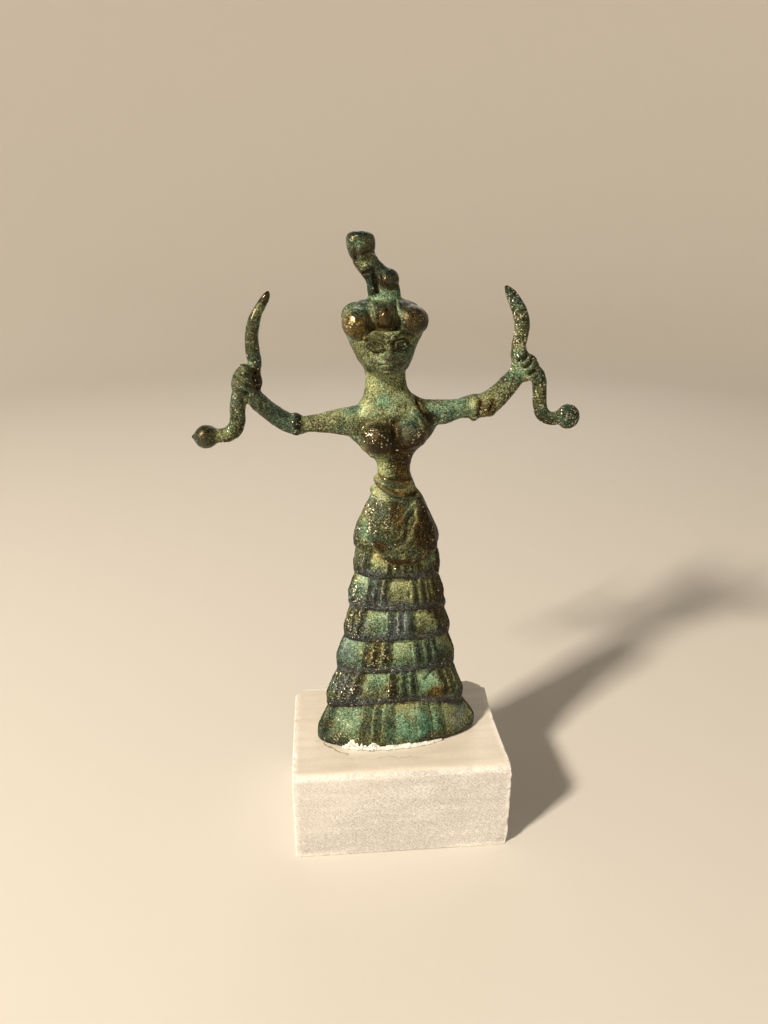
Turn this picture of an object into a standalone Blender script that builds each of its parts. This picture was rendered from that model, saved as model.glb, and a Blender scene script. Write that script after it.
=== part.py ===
# Snake goddess figurine: a small bronze of a woman in a flounced skirt, who holds up two snakes and
# wears a flat cap with a seated cat on it. The casting stands on a sawn marble block, and white glue
# shows along the front of its hem. Metres, Z up, the front towards -Y, the origin under the block.

import math

import bmesh
import bpy
from mathutils import Matrix, Vector

# The marble block: its sides, and how far its edges and its two back corners are worn away.
BLOCK_WIDTH = 0.0500
BLOCK_DEPTH = 0.0345
BLOCK_HEIGHT = 0.0228
EDGE_WEAR = 0.0007
CORNER_WEAR = 0.0016

# The casting: its height, its turn on the block, and how far its middle stands in front of the
# block's. Its pose, proportions and carving below are shares of its height.
FIGURE_HEIGHT = 0.1135
FIGURE_TURN = math.radians(4.5)
FIGURE_FORWARD = 0.0016

# The glue: the thin seat under the casting, and the bead squeezed out along the front of the hem, with
# the turns where it starts and ends, and how many lumps it has and how much they swell it.
SEAT = 0.0003
BEAD_WIDTH = 0.0012
BEAD_HEIGHT = 0.0010
BEAD_CLEARANCE = 0.0003
BEAD_FROM = math.radians(-43.0)
BEAD_TO = math.radians(30.0)
BEAD_LUMPS = 3.7
BEAD_LUMP_SHARE = 0.14

# The carving is written in parts, of which the casting's height has this many.
HEIGHT_IN_PARTS = 113.8
PART = FIGURE_HEIGHT / HEIGHT_IN_PARTS

# The flounces from the hem up, in parts: the low edge's reach to the left, right and front, its height
# at the left, the front and the right, and how many panels go round, every second one with ribs.
FLOUNCES = [
    (19.2, 19.1, 6.9, 0.0, 0.0, 0.0, 14),
    (16.8, 16.1, 6.0, 9.4, 11.9, 6.9, 14),
    (14.2, 13.6, 5.5, 18.9, 19.6, 18.3, 14),
    (12.4, 12.2, 5.2, 27.1, 27.7, 26.4, 14),
    (11.1, 11.1, 4.9, 35.3, 35.1, 33.3, 14),
    (9.9, 9.4, 4.7, 43.2, 42.8, 41.5, 8),
    (9.9, 9.0, 4.9, 49.5, 49.5, 49.0, 8),
]
# How far a flounce's top is set in under the one above, how high it is tucked up behind it, how full
# its side is, and the share of its height that is its upright lip.
FLOUNCE_LEDGE = 1.25
FLOUNCE_TUCK = 1.6
FLOUNCE_BULGE = 1.3
FLOUNCE_LIP = 0.12

# The ribs of a ribbed panel: how many, how high and how round, and the shares of that height that they
# have at the low edge and gain from there up to the tuck.
RIBS = 3
RIB_HEIGHT = 0.7
RIB_ROUNDNESS = 0.7
RIB_AT_EDGE = 0.3
RIB_GAIN = 1.4

# The casting's skin: the size of its finest features and the share of its faces that are kept.
SKIN_CELL = 0.42
SKIN_SHARE = 0.075


def smooth(knots, t):
    """The values at t, from 0 to 1, on a smooth curve through the knots."""
    place = t * (len(knots) - 1)
    i = min(int(place), len(knots) - 2)
    f = place - i
    before, start, end, after = (knots[max(i - 1, 0)], knots[i], knots[i + 1], knots[min(i + 2, len(knots) - 1)])
    values = []
    for p, q, r, s in zip(before, start, end, after):
        values.append(0.5 * (2 * q + (r - p) * f + (2 * p - 5 * q + 4 * r - s) * f ** 2
                             + (3 * q - p - 3 * r + s) * f ** 3))
    return values


def tube(bm, sides, rows, place):
    """A capped tube whose points are put in place by a function of the turn from the front and of t."""
    form = bmesh.new()
    bmesh.ops.create_cone(form, cap_ends=True, segments=sides, radius1=1.0, radius2=1.0, depth=1.0,
                          matrix=Matrix.Translation((0.0, 0.0, 0.5)))
    uprights = [edge for edge in form.edges if abs(edge.verts[0].co.z - edge.verts[1].co.z) > 0.5]
    bmesh.ops.subdivide_edges(form, edges=uprights, cuts=rows - 1)
    for vert in form.verts:
        turn = math.atan2(vert.co.x, -vert.co.y)
        vert.co = place(turn, min(max(vert.co.z, 0.0), 1.0))
    mesh = bpy.data.meshes.new("form")
    form.to_mesh(mesh)
    form.free()
    bm.from_mesh(mesh)
    bpy.data.meshes.remove(mesh)


def body(bm, sides, rows, knots, boxiness=1.0):
    """A form through level sections: each knot is a height and a reach left, right, front and back."""
    def place(turn, t):
        height, left, right, front, back = smooth(knots, t)
        across = math.sin(turn)
        ahead = math.cos(turn)
        middle = 0.5 * (right - left)
        half = 0.5 * (right + left)
        depth = front if ahead > 0.0 else back
        return Vector((middle + half * across, -depth * math.copysign(abs(ahead) ** boxiness, ahead), height))
    tube(bm, sides, rows, place)


def limb(bm, sides, rows, knots, flat=1.0):
    """A round form along a path: each knot is a place in X, Y and Z and a radius."""
    def place(turn, t):
        x, y, z, radius = smooth(knots, t)
        near = smooth(knots, max(t - 0.01, 0.0))
        far = smooth(knots, min(t + 0.01, 1.0))
        along = Vector(far[:3]) - Vector(near[:3])
        side = along.cross(Vector((0.0, 1.0, 0.0))).normalized()
        front = along.cross(side).normalized()
        return Vector((x, y, z)) + radius * (math.sin(turn) * side + flat * math.cos(turn) * front)
    tube(bm, sides, rows, place)


def bead(bm, centre, radii, tilt=0.0):
    """An egg shape with its three radii, tilted in the plane of the figure."""
    size = Matrix.Diagonal((*radii, 1.0))
    turned = Matrix.Rotation(math.radians(tilt), 4, "Y")
    bmesh.ops.create_uvsphere(bm, u_segments=18, v_segments=10, radius=1.0,
                              matrix=Matrix.Translation(centre) @ turned @ size)


def level_at(edge, turn):
    """The height of a flounce's low edge at a turn from the front."""
    left_height, front_height, right_height = edge[3:6]
    side_height = right_height if math.sin(turn) > 0.0 else left_height
    return front_height + (side_height - front_height) * math.sin(turn) ** 2


def ribs_at(turn, panels, ribbed_front):
    """How far the skirt's ribs stand out at a turn, from 0 on a plain panel to 1 on a rib's crown."""
    place = turn / (2.0 * math.pi) * panels + 0.5
    panel = math.floor(place)
    if (panel % 2 == 0) != ribbed_front:
        return 0.0
    return abs(math.sin(math.pi * RIBS * (place - panel))) ** RIB_ROUNDNESS


def add_skirt(bm):
    """The flounces, each tucked under the one above, with ribbed and plain panels in turn."""
    for i, (edge, above) in enumerate(zip(FLOUNCES, FLOUNCES[1:])):
        left, right, front = edge[:3]
        top_left, top_right, top_front = (reach - FLOUNCE_LEDGE for reach in above[:3])

        def place(turn, t):
            low = level_at(edge, turn)
            high = level_at(above, turn) + FLOUNCE_TUCK
            flare = 1.0 - (max(0.0, t - FLOUNCE_LIP) / (1.0 - FLOUNCE_LIP)) ** FLOUNCE_BULGE
            relief = RIB_HEIGHT * ribs_at(turn, edge[6], i % 2 == 1) * min(1.0, RIB_AT_EDGE + RIB_GAIN * t)
            middle = 0.5 * (right - left)
            wide = top_left + top_right + (left + right - top_left - top_right) * flare
            deep = top_front + (front - top_front) * flare
            return Vector((middle + (0.5 * wide + relief) * math.sin(turn),
                           -(deep + relief) * math.cos(turn), low + (high - low) * t))
        tube(bm, 168, 14, place)


def add_hips(bm):
    """The hips in the back apron, whose edge shows at the sides, and the front apron's thick lobe."""
    body(bm, 48, 20, [(49.2, 9.4, 8.6, 4.6, 4.4), (49.7, 9.8, 9.0, 4.9, 4.6), (51.2, 9.9, 9.1, 5.0, 4.6),
                      (54.3, 9.2, 8.0, 4.9, 4.4), (57.3, 7.8, 6.6, 4.5, 4.1), (60.6, 6.1, 5.1, 3.9, 3.6),
                      (63.0, 4.9, 3.2, 3.2, 3.0)])
    body(bm, 48, 24, [(46.6, 0.6, 3.0, 5.2, 0.5), (47.0, 3.0, 5.4, 6.2, 0.5), (48.2, 4.8, 7.2, 6.9, 0.5),
                      (50.4, 6.3, 8.3, 7.0, 0.5), (53.8, 7.1, 7.6, 6.3, 0.5), (57.5, 6.5, 6.2, 5.5, 0.5),
                      (61.0, 5.2, 4.6, 4.3, 0.5)], boxiness=0.38)
    for width, low in ((3.6, 48.2), (1.7, 51.4)):
        limb(bm, 8, 24, [(0.4 - width, -5.6, 58.0, 0.5), (0.1 - width, -6.4, 54.0, 0.5),
                         (0.4 - 0.8 * width, -6.9, low + 1.0, 0.5), (0.8, -6.9, low, 0.5),
                         (1.0 + 0.8 * width, -6.9, low + 1.0, 0.5), (0.9 + width, -6.2, 54.0, 0.5),
                         (0.7 + width, -5.4, 58.0, 0.5)])


def add_torso(bm):
    """The belt's two rolls, the waist, the chest in its open bodice, and the neck."""
    bead(bm, (-1.2, 0.0, 61.9), (5.3, 4.3, 1.25), 4.0)
    bead(bm, (-1.1, 0.0, 64.1), (4.6, 3.7, 1.15), 4.0)
    body(bm, 40, 30, [(60.0, 5.9, 4.6, 3.6, 3.4), (65.5, 4.6, 2.7, 2.9, 2.7), (68.1, 4.7, 2.7, 2.9, 2.6),
                      (70.2, 6.3, 3.6, 3.3, 2.8), (72.2, 8.5, 5.6, 3.6, 3.0), (74.5, 10.4, 7.4, 3.9, 3.1),
                      (77.0, 10.6, 8.6, 3.9, 3.1), (79.2, 9.6, 8.2, 3.7, 3.1), (80.8, 8.4, 6.2, 3.5, 3.0),
                      (82.0, 7.5, 3.6, 3.5, 3.1), (83.7, 7.0, 2.0, 3.4, 3.2), (86.5, 6.7, 1.4, 3.3, 3.4),
                      (88.5, 6.9, 1.6, 3.6, 3.8)])
    bead(bm, (-5.0, -3.3, 75.0), (3.5, 3.4, 3.5))
    bead(bm, (2.0, -3.2, 75.2), (3.9, 3.4, 3.4))
    bead(bm, (-2.1, -3.7, 78.3), (0.8, 0.8, 0.8))
    for hand in (-1.0, 1.0):
        middle = -1.7
        limb(bm, 8, 18, [(middle + 4.8 * hand, -2.4, 81.4, 0.6), (middle + 7.2 * hand, -2.3, 78.6, 0.65),
                         (middle + 7.6 * hand, -2.0, 75.4, 0.65), (middle + 4.8 * hand, -2.3, 71.6, 0.6),
                         (middle + 2.6 * hand, -2.1, 69.2, 0.4)])


def add_head(bm):
    """The hair as a wedge under the cap, the face on it, and the flat cap with its round bosses."""
    middle = -3.1
    body(bm, 40, 16, [(85.5, 6.5, 1.2, 3.0, 3.4), (88.2, 7.3, 1.7, 3.4, 4.2), (90.1, 8.5, 2.5, 3.9, 4.7),
                      (93.8, 10.2, 4.0, 4.4, 5.3), (96.5, 11.0, 5.2, 4.8, 5.7), (99.0, 10.6, 4.6, 4.8, 5.4)])
    bead(bm, (middle, -2.3, 93.0), (5.0, 3.9, 5.2))
    bead(bm, (middle, -4.3, 89.2), (1.9, 1.5, 1.2))
    bead(bm, (middle, -6.0, 92.3), (0.8, 1.2, 1.8))
    bead(bm, (middle, -5.3, 90.4), (1.3, 0.8, 0.45))
    for hand in (-1.0, 1.0):
        bead(bm, (middle + 2.2 * hand, -5.3, 93.4), (1.3, 0.8, 0.8))
        limb(bm, 8, 8, [(middle + 0.9 * hand, -6.0, 94.4, 0.35), (middle + 2.3 * hand, -5.9, 95.0, 0.45),
                        (middle + 4.2 * hand, -4.6, 94.4, 0.35)])
    body(bm, 48, 12, [(96.2, 8.8, 2.6, 4.4, 4.6), (97.2, 9.4, 3.2, 4.8, 5.0), (99.4, 9.6, 3.4, 4.9, 5.1),
                      (100.8, 9.0, 2.8, 4.4, 4.6), (101.3, 6.8, 0.8, 2.6, 2.8)])
    bosses = 6
    for boss in range(bosses):
        turn = 2.0 * math.pi * boss / bosses + math.radians(8.0)
        bead(bm, (middle + 5.9 * math.sin(turn), -4.6 * math.cos(turn), 97.9), (3.1, 2.5, 2.95))


def add_cat(bm):
    """The seated cat on its small round foot: haunch, forelegs, chest and raised square head."""
    body(bm, 24, 14, [(100.6, 6.9, 0.8, 2.6, 2.6), (101.8, 6.2, 0.3, 2.1, 2.1), (103.3, 5.9, 0.2, 1.4, 1.5),
                      (105.0, 6.6, -0.4, 1.4, 1.6), (106.4, 7.8, -1.4, 1.5, 1.6), (107.5, 8.7, -2.8, 1.7, 1.7),
                      (108.8, 9.2, -4.1, 1.9, 1.8), (110.0, 9.5, -4.7, 1.9, 1.8)])
    bead(bm, (-2.4, -0.2, 105.0), (2.4, 2.2, 2.1))
    limb(bm, 12, 8, [(-5.4, -0.6, 102.4, 1.0), (-5.6, -0.8, 104.8, 1.1), (-6.6, -0.7, 107.4, 1.6)])
    body(bm, 24, 10, [(108.9, 9.3, -4.9, 1.9, 1.8), (109.8, 9.8, -4.8, 2.3, 2.2), (111.8, 10.2, -4.7, 2.5, 2.4),
                      (113.2, 10.0, -5.0, 2.2, 2.1), (113.8, 8.9, -5.9, 1.4, 1.3)], boxiness=0.8)


def mirrored_reach(knots):
    """Knots whose first value is a reach to the left, as places in X."""
    return [(-reach, *rest) for reach, *rest in knots]


def add_arms(bm):
    """Both arms, out level from the shoulders and bent up at the elbows, with the elbows' knobs."""
    limb(bm, 20, 30, mirrored_reach([(4.0, 0.0, 78.2, 2.4), (8.0, 0.0, 77.6, 2.6), (11.5, 0.0, 77.3, 2.5),
                                     (15.0, 0.0, 77.3, 2.2), (18.2, 0.0, 77.4, 2.0), (21.0, 0.0, 77.5, 2.2),
                                     (23.6, 0.0, 79.2, 2.2), (26.4, 0.0, 82.0, 2.0), (28.9, 0.0, 84.4, 1.8),
                                     (30.2, 0.0, 85.8, 1.6)]))
    bead(bm, (-20.9, -0.2, 77.2), (1.6, 2.4, 2.45))
    limb(bm, 20, 30, [(2.0, 0.0, 78.6, 2.4), (6.0, 0.0, 78.5, 2.6), (9.5, 0.0, 78.4, 2.6),
                      (12.5, 0.0, 78.8, 2.3), (15.2, 0.0, 79.2, 2.4), (18.4, 0.0, 79.6, 2.6),
                      (20.8, 0.0, 81.2, 2.4), (22.9, 0.0, 83.4, 2.1), (24.6, 0.0, 85.4, 1.9),
                      (25.8, 0.0, 87.0, 1.7)])
    bead(bm, (16.0, -0.2, 78.9), (1.9, 2.7, 2.7))
    bead(bm, (19.0, -0.7, 79.5), (1.8, 2.2, 2.4))


def add_hands(bm):
    """Both fists round their snakes, each with four fingers laid across the front."""
    bead(bm, (-30.9, 0.0, 86.3), (2.5, 2.1, 3.4), 20.0)
    bead(bm, (-28.8, 0.0, 86.3), (1.5, 1.8, 2.8))
    for finger in range(4):
        bead(bm, (-30.4 - 0.5 * finger, -1.7, 88.7 - 1.6 * finger), (1.9, 1.1, 0.85), 28.0)
    bead(bm, (26.6, 0.0, 87.2), (3.1, 2.2, 3.1), -30.0)
    bead(bm, (25.2, 0.0, 90.0), (1.9, 1.8, 2.6), -8.0)
    for finger in range(4):
        bead(bm, (25.5 + 1.05 * finger, -1.9, 90.0 - 1.45 * finger), (1.9, 1.1, 0.85), -42.0)


def add_snakes(bm):
    """Both snakes, tail up and head out and down, held in the fists."""
    limb(bm, 14, 40, mirrored_reach([(25.1, 0.0, 103.3, 0.25), (25.6, 0.0, 102.4, 0.8), (26.3, 0.0, 101.1, 1.1),
                                     (27.3, 0.0, 99.6, 1.15), (28.6, 0.0, 97.4, 1.3), (29.0, 0.0, 94.8, 1.4),
                                     (28.8, 0.0, 92.0, 1.35), (28.6, 0.0, 89.4, 1.4), (29.4, 0.0, 87.0, 1.5),
                                     (30.8, 0.0, 85.0, 1.6), (32.0, 0.0, 83.0, 1.6), (32.5, 0.0, 80.5, 1.6),
                                     (32.7, 0.0, 78.2, 1.6), (33.5, 0.0, 76.4, 1.55), (35.2, 0.0, 75.5, 1.45),
                                     (37.0, 0.0, 75.4, 1.4), (38.6, 0.0, 75.3, 1.6)]))
    bead(bm, (-39.0, 0.0, 75.3), (2.5, 2.2, 2.35))
    limb(bm, 10, 6, mirrored_reach([(39.5, 0.0, 75.3, 1.8), (41.0, 0.0, 75.4, 0.9), (41.9, 0.0, 75.5, 0.3)]))
    limb(bm, 14, 40, [(21.3, 0.0, 103.4, 0.25), (22.0, 0.0, 102.6, 0.8), (23.0, 0.0, 101.2, 1.2),
                      (24.3, 0.0, 99.1, 1.45), (25.2, 0.0, 96.4, 1.6), (25.3, 0.0, 94.0, 1.5),
                      (24.9, 0.0, 91.6, 1.5), (25.6, 0.0, 89.2, 1.6), (27.4, 0.0, 87.0, 1.6),
                      (29.4, 0.0, 85.2, 1.6), (30.0, 0.0, 82.6, 1.55), (30.2, 0.0, 79.8, 1.5),
                      (30.9, 0.0, 77.3, 1.5), (32.6, 0.0, 76.0, 1.4), (34.4, 0.0, 76.0, 1.4),
                      (36.0, 0.0, 76.2, 1.6)])
    bead(bm, (36.8, 0.0, 76.3), (2.5, 2.3, 2.7))


def material(name, colour, roughness, metallic):
    """A plain finish for one piece."""
    finish = bpy.data.materials.new(name)
    finish.use_nodes = True
    shader = finish.node_tree.nodes["Principled BSDF"]
    shader.inputs["Base Color"].default_value = (*colour, 1.0)
    shader.inputs["Roughness"].default_value = roughness
    shader.inputs["Metallic"].default_value = metallic
    return finish


def piece(name, bm, finish):
    """A named object from a finished mesh."""
    bmesh.ops.recalc_face_normals(bm, faces=bm.faces)
    mesh = bpy.data.meshes.new(name)
    bm.to_mesh(mesh)
    bm.free()
    mesh.shade_smooth()
    mesh.materials.append(finish)
    made = bpy.data.objects.new(name, mesh)
    bpy.context.scene.collection.objects.link(made)
    return made


def build_block(finish):
    """The sawn block: worn edges, and two back corners more worn than the others."""
    bm = bmesh.new()
    bmesh.ops.create_cube(bm, size=1.0, matrix=Matrix.Translation((0.0, 0.0, 0.5 * BLOCK_HEIGHT))
                          @ Matrix.Diagonal((BLOCK_WIDTH, BLOCK_DEPTH, BLOCK_HEIGHT, 1.0)))
    for side in (-1.0, 1.0):
        away = Vector((side, 1.0, 0.0)).normalized()
        corner = Vector((0.5 * side * BLOCK_WIDTH, 0.5 * BLOCK_DEPTH, 0.0)) - away * CORNER_WEAR
        cut = bmesh.ops.bisect_plane(bm, geom=bm.verts[:] + bm.edges[:] + bm.faces[:], plane_co=corner,
                                     plane_no=away, clear_outer=True)
        rim = [part for part in cut["geom_cut"] if isinstance(part, bmesh.types.BMEdge)]
        bmesh.ops.holes_fill(bm, edges=rim)
    above = [edge for edge in bm.edges if max(v.co.z for v in edge.verts) > 0.5 * BLOCK_HEIGHT]
    bmesh.ops.bevel(bm, geom=above, offset=EDGE_WEAR, offset_type="OFFSET", segments=2, profile=0.5,
                    affect="EDGES", material=-1, clamp_overlap=True)
    block = piece("marble_block", bm, finish)
    block.data.set_sharp_from_angle(angle=math.radians(50.0))
    return block


def build_figure(finish):
    """The casting: its forms run together in one skin, as they do in the mould."""
    bm = bmesh.new()
    add_skirt(bm)
    add_hips(bm)
    add_torso(bm)
    add_head(bm)
    add_cat(bm)
    add_arms(bm)
    add_hands(bm)
    add_snakes(bm)
    bmesh.ops.scale(bm, vec=(PART, PART, PART), verts=bm.verts)
    figure = piece("goddess_figurine", bm, finish)
    figure.location = (0.0, -FIGURE_FORWARD, BLOCK_HEIGHT + SEAT)
    figure.rotation_euler = (0.0, 0.0, FIGURE_TURN)
    skin = figure.modifiers.new("skin", "REMESH")
    skin.mode = "VOXEL"
    skin.voxel_size = SKIN_CELL * PART
    skin.use_smooth_shade = True
    fewer = figure.modifiers.new("fewer faces", "DECIMATE")
    fewer.ratio = SKIN_SHARE
    return figure


def build_glue(finish):
    """The bead of glue: a thin rounded strip that follows the front of the hem."""
    left, right, front = (reach * PART for reach in FLOUNCES[0][:3])
    out = RIB_HEIGHT * RIB_AT_EDGE * PART + BEAD_CLEARANCE + 0.5 * BEAD_WIDTH

    def place(turn, t):
        at = BEAD_FROM + (BEAD_TO - BEAD_FROM) * t
        taper = math.sin(math.pi * (0.04 + 0.92 * t)) ** 0.35
        swell = 1.0 - BEAD_LUMP_SHARE + BEAD_LUMP_SHARE * math.sin(2.0 * math.pi * BEAD_LUMPS * t)
        fullness = taper * swell
        centre = Vector((0.5 * (right - left) + (0.5 * (left + right) + out) * math.sin(at),
                         -(front + out) * math.cos(at), 0.0))
        outward = Vector((math.sin(at) * front, -math.cos(at) * 0.5 * (left + right), 0.0)).normalized()
        lift = 0.5 * BEAD_HEIGHT * fullness * (1.0 - math.cos(turn))
        return centre + 0.5 * BEAD_WIDTH * fullness * math.sin(turn) * outward + Vector((0.0, 0.0, lift))
    bm = bmesh.new()
    tube(bm, 8, 36, place)
    glue = piece("adhesive_seam", bm, finish)
    glue.location = (0.0, -FIGURE_FORWARD, BLOCK_HEIGHT + SEAT)
    glue.rotation_euler = (0.0, 0.0, FIGURE_TURN)
    return glue


for old in list(bpy.data.objects):
    bpy.data.objects.remove(old)

build_block(material("white marble", (0.80, 0.76, 0.70), 0.6, 0.0))
build_figure(material("green bronze", (0.10, 0.17, 0.12), 0.5, 0.6))
build_glue(material("white glue", (0.88, 0.88, 0.84), 0.6, 0.0))
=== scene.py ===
# Snake goddess figurine: a small cast bronze with a green patina, glued to a sawn block of marble.
# Metres, Z up, the front towards -Y, the origin under the block, as in the frame.

import math

import bmesh
import bpy
import numpy as np
from mathutils import Matrix, Vector, noise


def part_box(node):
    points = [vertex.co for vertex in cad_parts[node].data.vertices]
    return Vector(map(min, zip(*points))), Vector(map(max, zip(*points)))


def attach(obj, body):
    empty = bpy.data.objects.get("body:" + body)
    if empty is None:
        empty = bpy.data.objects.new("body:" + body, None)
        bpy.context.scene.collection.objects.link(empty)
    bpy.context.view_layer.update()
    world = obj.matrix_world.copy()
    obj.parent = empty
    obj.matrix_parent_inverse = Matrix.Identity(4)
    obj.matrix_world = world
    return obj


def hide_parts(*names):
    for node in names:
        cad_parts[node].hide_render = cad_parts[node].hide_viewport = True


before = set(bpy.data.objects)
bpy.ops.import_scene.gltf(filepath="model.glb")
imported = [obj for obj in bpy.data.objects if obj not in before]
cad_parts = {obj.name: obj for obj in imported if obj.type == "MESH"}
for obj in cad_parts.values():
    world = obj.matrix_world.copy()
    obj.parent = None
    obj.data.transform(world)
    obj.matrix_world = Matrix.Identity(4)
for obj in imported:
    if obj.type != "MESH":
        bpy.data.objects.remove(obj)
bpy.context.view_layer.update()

# The marble block: white marble sawn on all sides, rubbed smooth on top and a little on the front. Its
# edges are worn and chipped, the one along the front most, and both back corners are knocked off.
block_low, block_high = (Vector(corner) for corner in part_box("marble_block"))
BLOCK_SIZE = block_high - block_low
BLOCK_MIDDLE = 0.5 * (block_low + block_high)
BLOCK_CORNER_LOSS = 0.0017
BLOCK_FRONT_WEAR = 0.0017
BLOCK_EDGE_WEAR = 0.0007
BLOCK_CELL = 0.00040
CHIP_DEPTH = 0.00075
CHIP_REACH = 0.0015
CHIP_SIZE = 0.0017
CHIP_GRIT = 0.0006
SAW_DEPTH = 0.00003
SAW_PITCH = 0.0011
SAW_SLANT = 0.75
SAW_DRIFT = 0.006
SAW_GRIT = 0.0008
# The front is rubbed only above a line that starts this high at the left and climbs this steeply.
RUBBED_FROM = 0.003
RUBBED_SLOPE = 0.75
BLOCK_RIGHT_BOW = 0.0006
BLOCK_RIGHT_WEAR = 0.0013
# Knocked corners: the signs of the corner in X, Y and Z, how far the loss reaches and how deep it is.
CORNER_KNOCKS = [((1, -1, -1), 0.0030, 0.0007), ((-1, -1, 1), 0.0018, 0.0006), ((1, -1, 1), 0.0020, 0.0005)]


def points_of(mesh):
    """A mesh's points as rows of an array."""
    flat = np.empty(3 * len(mesh.vertices))
    mesh.vertices.foreach_get("co", flat)
    return flat.reshape(-1, 3)


def normals_of(mesh):
    """The directions in which a mesh's points face, as rows of an array."""
    flat = np.empty(3 * len(mesh.vertices))
    mesh.vertex_normals.foreach_get("vector", flat)
    return flat.reshape(-1, 3)


def put_points(mesh, points):
    """Move a mesh's points to the rows of an array."""
    mesh.vertices.foreach_set("co", np.ascontiguousarray(points).reshape(-1))
    mesh.update()


def store(mesh, shares):
    """Keep named numbers on a mesh's points, for its material to read."""
    for name, values in shares.items():
        mesh.attributes.new(name, "FLOAT", "POINT").data.foreach_set("value", values.astype(np.float32))


def grain(points, size, seed=0.0):
    """Smooth noise from -1 to 1 at each point, with lumps about one size across."""
    away = Vector((seed, -seed, 0.5 * seed))
    return np.array([noise.noise(Vector(point) / size + away) for point in points])


def shown(name, data):
    """A new object in the scene, which shows a mesh, a light or a camera."""
    made = bpy.data.objects.new(name, data)
    bpy.context.scene.collection.objects.link(made)
    return made


def mesh_of(bm, name):
    """A fresh mesh from a shape, which is then done with."""
    mesh = bpy.data.meshes.new(name)
    bm.to_mesh(mesh)
    bm.free()
    return mesh


def modified(mesh, name, kind, **settings):
    """A fresh mesh in place of another, put through one modifier."""
    holder = shown(name, mesh)
    modifier = holder.modifiers.new(kind, kind)
    for setting, value in settings.items():
        setattr(modifier, setting, value)
    made = bpy.data.meshes.new_from_object(holder.evaluated_get(bpy.context.evaluated_depsgraph_get()))
    bpy.data.objects.remove(holder)
    bpy.data.meshes.remove(mesh)
    made.name = name
    return made


def evenly_meshed(bm, name, cell):
    """A closed shape meshed again with even cells, as a fresh mesh."""
    bmesh.ops.recalc_face_normals(bm, faces=bm.faces)
    return modified(mesh_of(bm, name), name, "REMESH", mode="VOXEL", voxel_size=cell)


def linear(hex_colour):
    """An sRGB hex colour as the linear colour that a shader takes."""
    shares = [int(hex_colour[i:i + 2], 16) / 255.0 for i in (1, 3, 5)]
    return (*(s / 12.92 if s <= 0.04045 else ((s + 0.055) / 1.055) ** 2.4 for s in shares), 1.0)


def feed(material, node, inputs):
    """Set or link the inputs of a material's node."""
    for name, value in inputs.items():
        if isinstance(value, bpy.types.NodeSocket):
            material.node_tree.links.new(value, node.inputs[name])
        else:
            node.inputs[name].default_value = value


def add(material, kind, inputs, out=0, **settings):
    """Add a node to a material, with its settings and inputs, and give one of its outputs."""
    made = material.node_tree.nodes.new("ShaderNode" + kind)
    for name, value in settings.items():
        setattr(made, name, value)
    feed(material, made, inputs)
    return made.outputs[out]


def new_finish(name):
    """A new material, its shader, and the place on the object that its patterns follow."""
    material = bpy.data.materials.new(name)
    material.use_nodes = True
    shader = material.node_tree.nodes["Principled BSDF"]
    return material, shader, add(material, "TexCoord", {}, out="Object")


def finished(name, mesh, material, node):
    """A piece of the object from its mesh and material, in place of the frame's node."""
    mesh.materials.clear()
    mesh.materials.append(material)
    mesh.shade_smooth()
    piece = shown(name, mesh)
    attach(piece, "root")
    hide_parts(node)


def cut_block():
    """The block's plain shape, with both back corners knocked off and its edges worn round."""
    bm = bmesh.new()
    bmesh.ops.create_cube(bm, size=1.0,
                          matrix=Matrix.Translation(BLOCK_MIDDLE) @ Matrix.Diagonal((*BLOCK_SIZE, 1.0)))
    for side, corner_x in ((-1.0, block_low.x), (1.0, block_high.x)):
        away = Vector((side, 1.0, 0.0)).normalized()
        corner = Vector((corner_x, block_high.y, 0.0)) - away * BLOCK_CORNER_LOSS
        cut = bmesh.ops.bisect_plane(bm, geom=bm.verts[:] + bm.edges[:] + bm.faces[:], plane_co=corner,
                                     plane_no=away, clear_outer=True)
        rim = [part for part in cut["geom_cut"] if isinstance(part, bmesh.types.BMEdge)]
        bmesh.ops.holes_fill(bm, edges=rim)
    others = [edge for edge in bm.edges if max(vert.co.z for vert in edge.verts) > BLOCK_MIDDLE.z]
    top = [edge for edge in others if min(vert.co.z for vert in edge.verts) > BLOCK_MIDDLE.z]
    front_top = [edge for edge in top if max(vert.co.y for vert in edge.verts) < BLOCK_MIDDLE.y]
    right_top = [edge for edge in top if min(vert.co.x for vert in edge.verts) > 0.9 * block_high.x]
    others = [edge for edge in others if edge not in front_top + right_top]
    for edges, wear, segments in ((front_top, BLOCK_FRONT_WEAR, 4), (right_top, BLOCK_RIGHT_WEAR, 3),
                                  (others, BLOCK_EDGE_WEAR, 3)):
        bmesh.ops.bevel(bm, geom=[edge for edge in edges if edge.is_valid], offset=wear, segments=segments,
                        offset_type="OFFSET", profile=0.5, affect="EDGES", material=-1, clamp_overlap=True)
    return evenly_meshed(bm, "sawn_marble_block", BLOCK_CELL)


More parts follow.
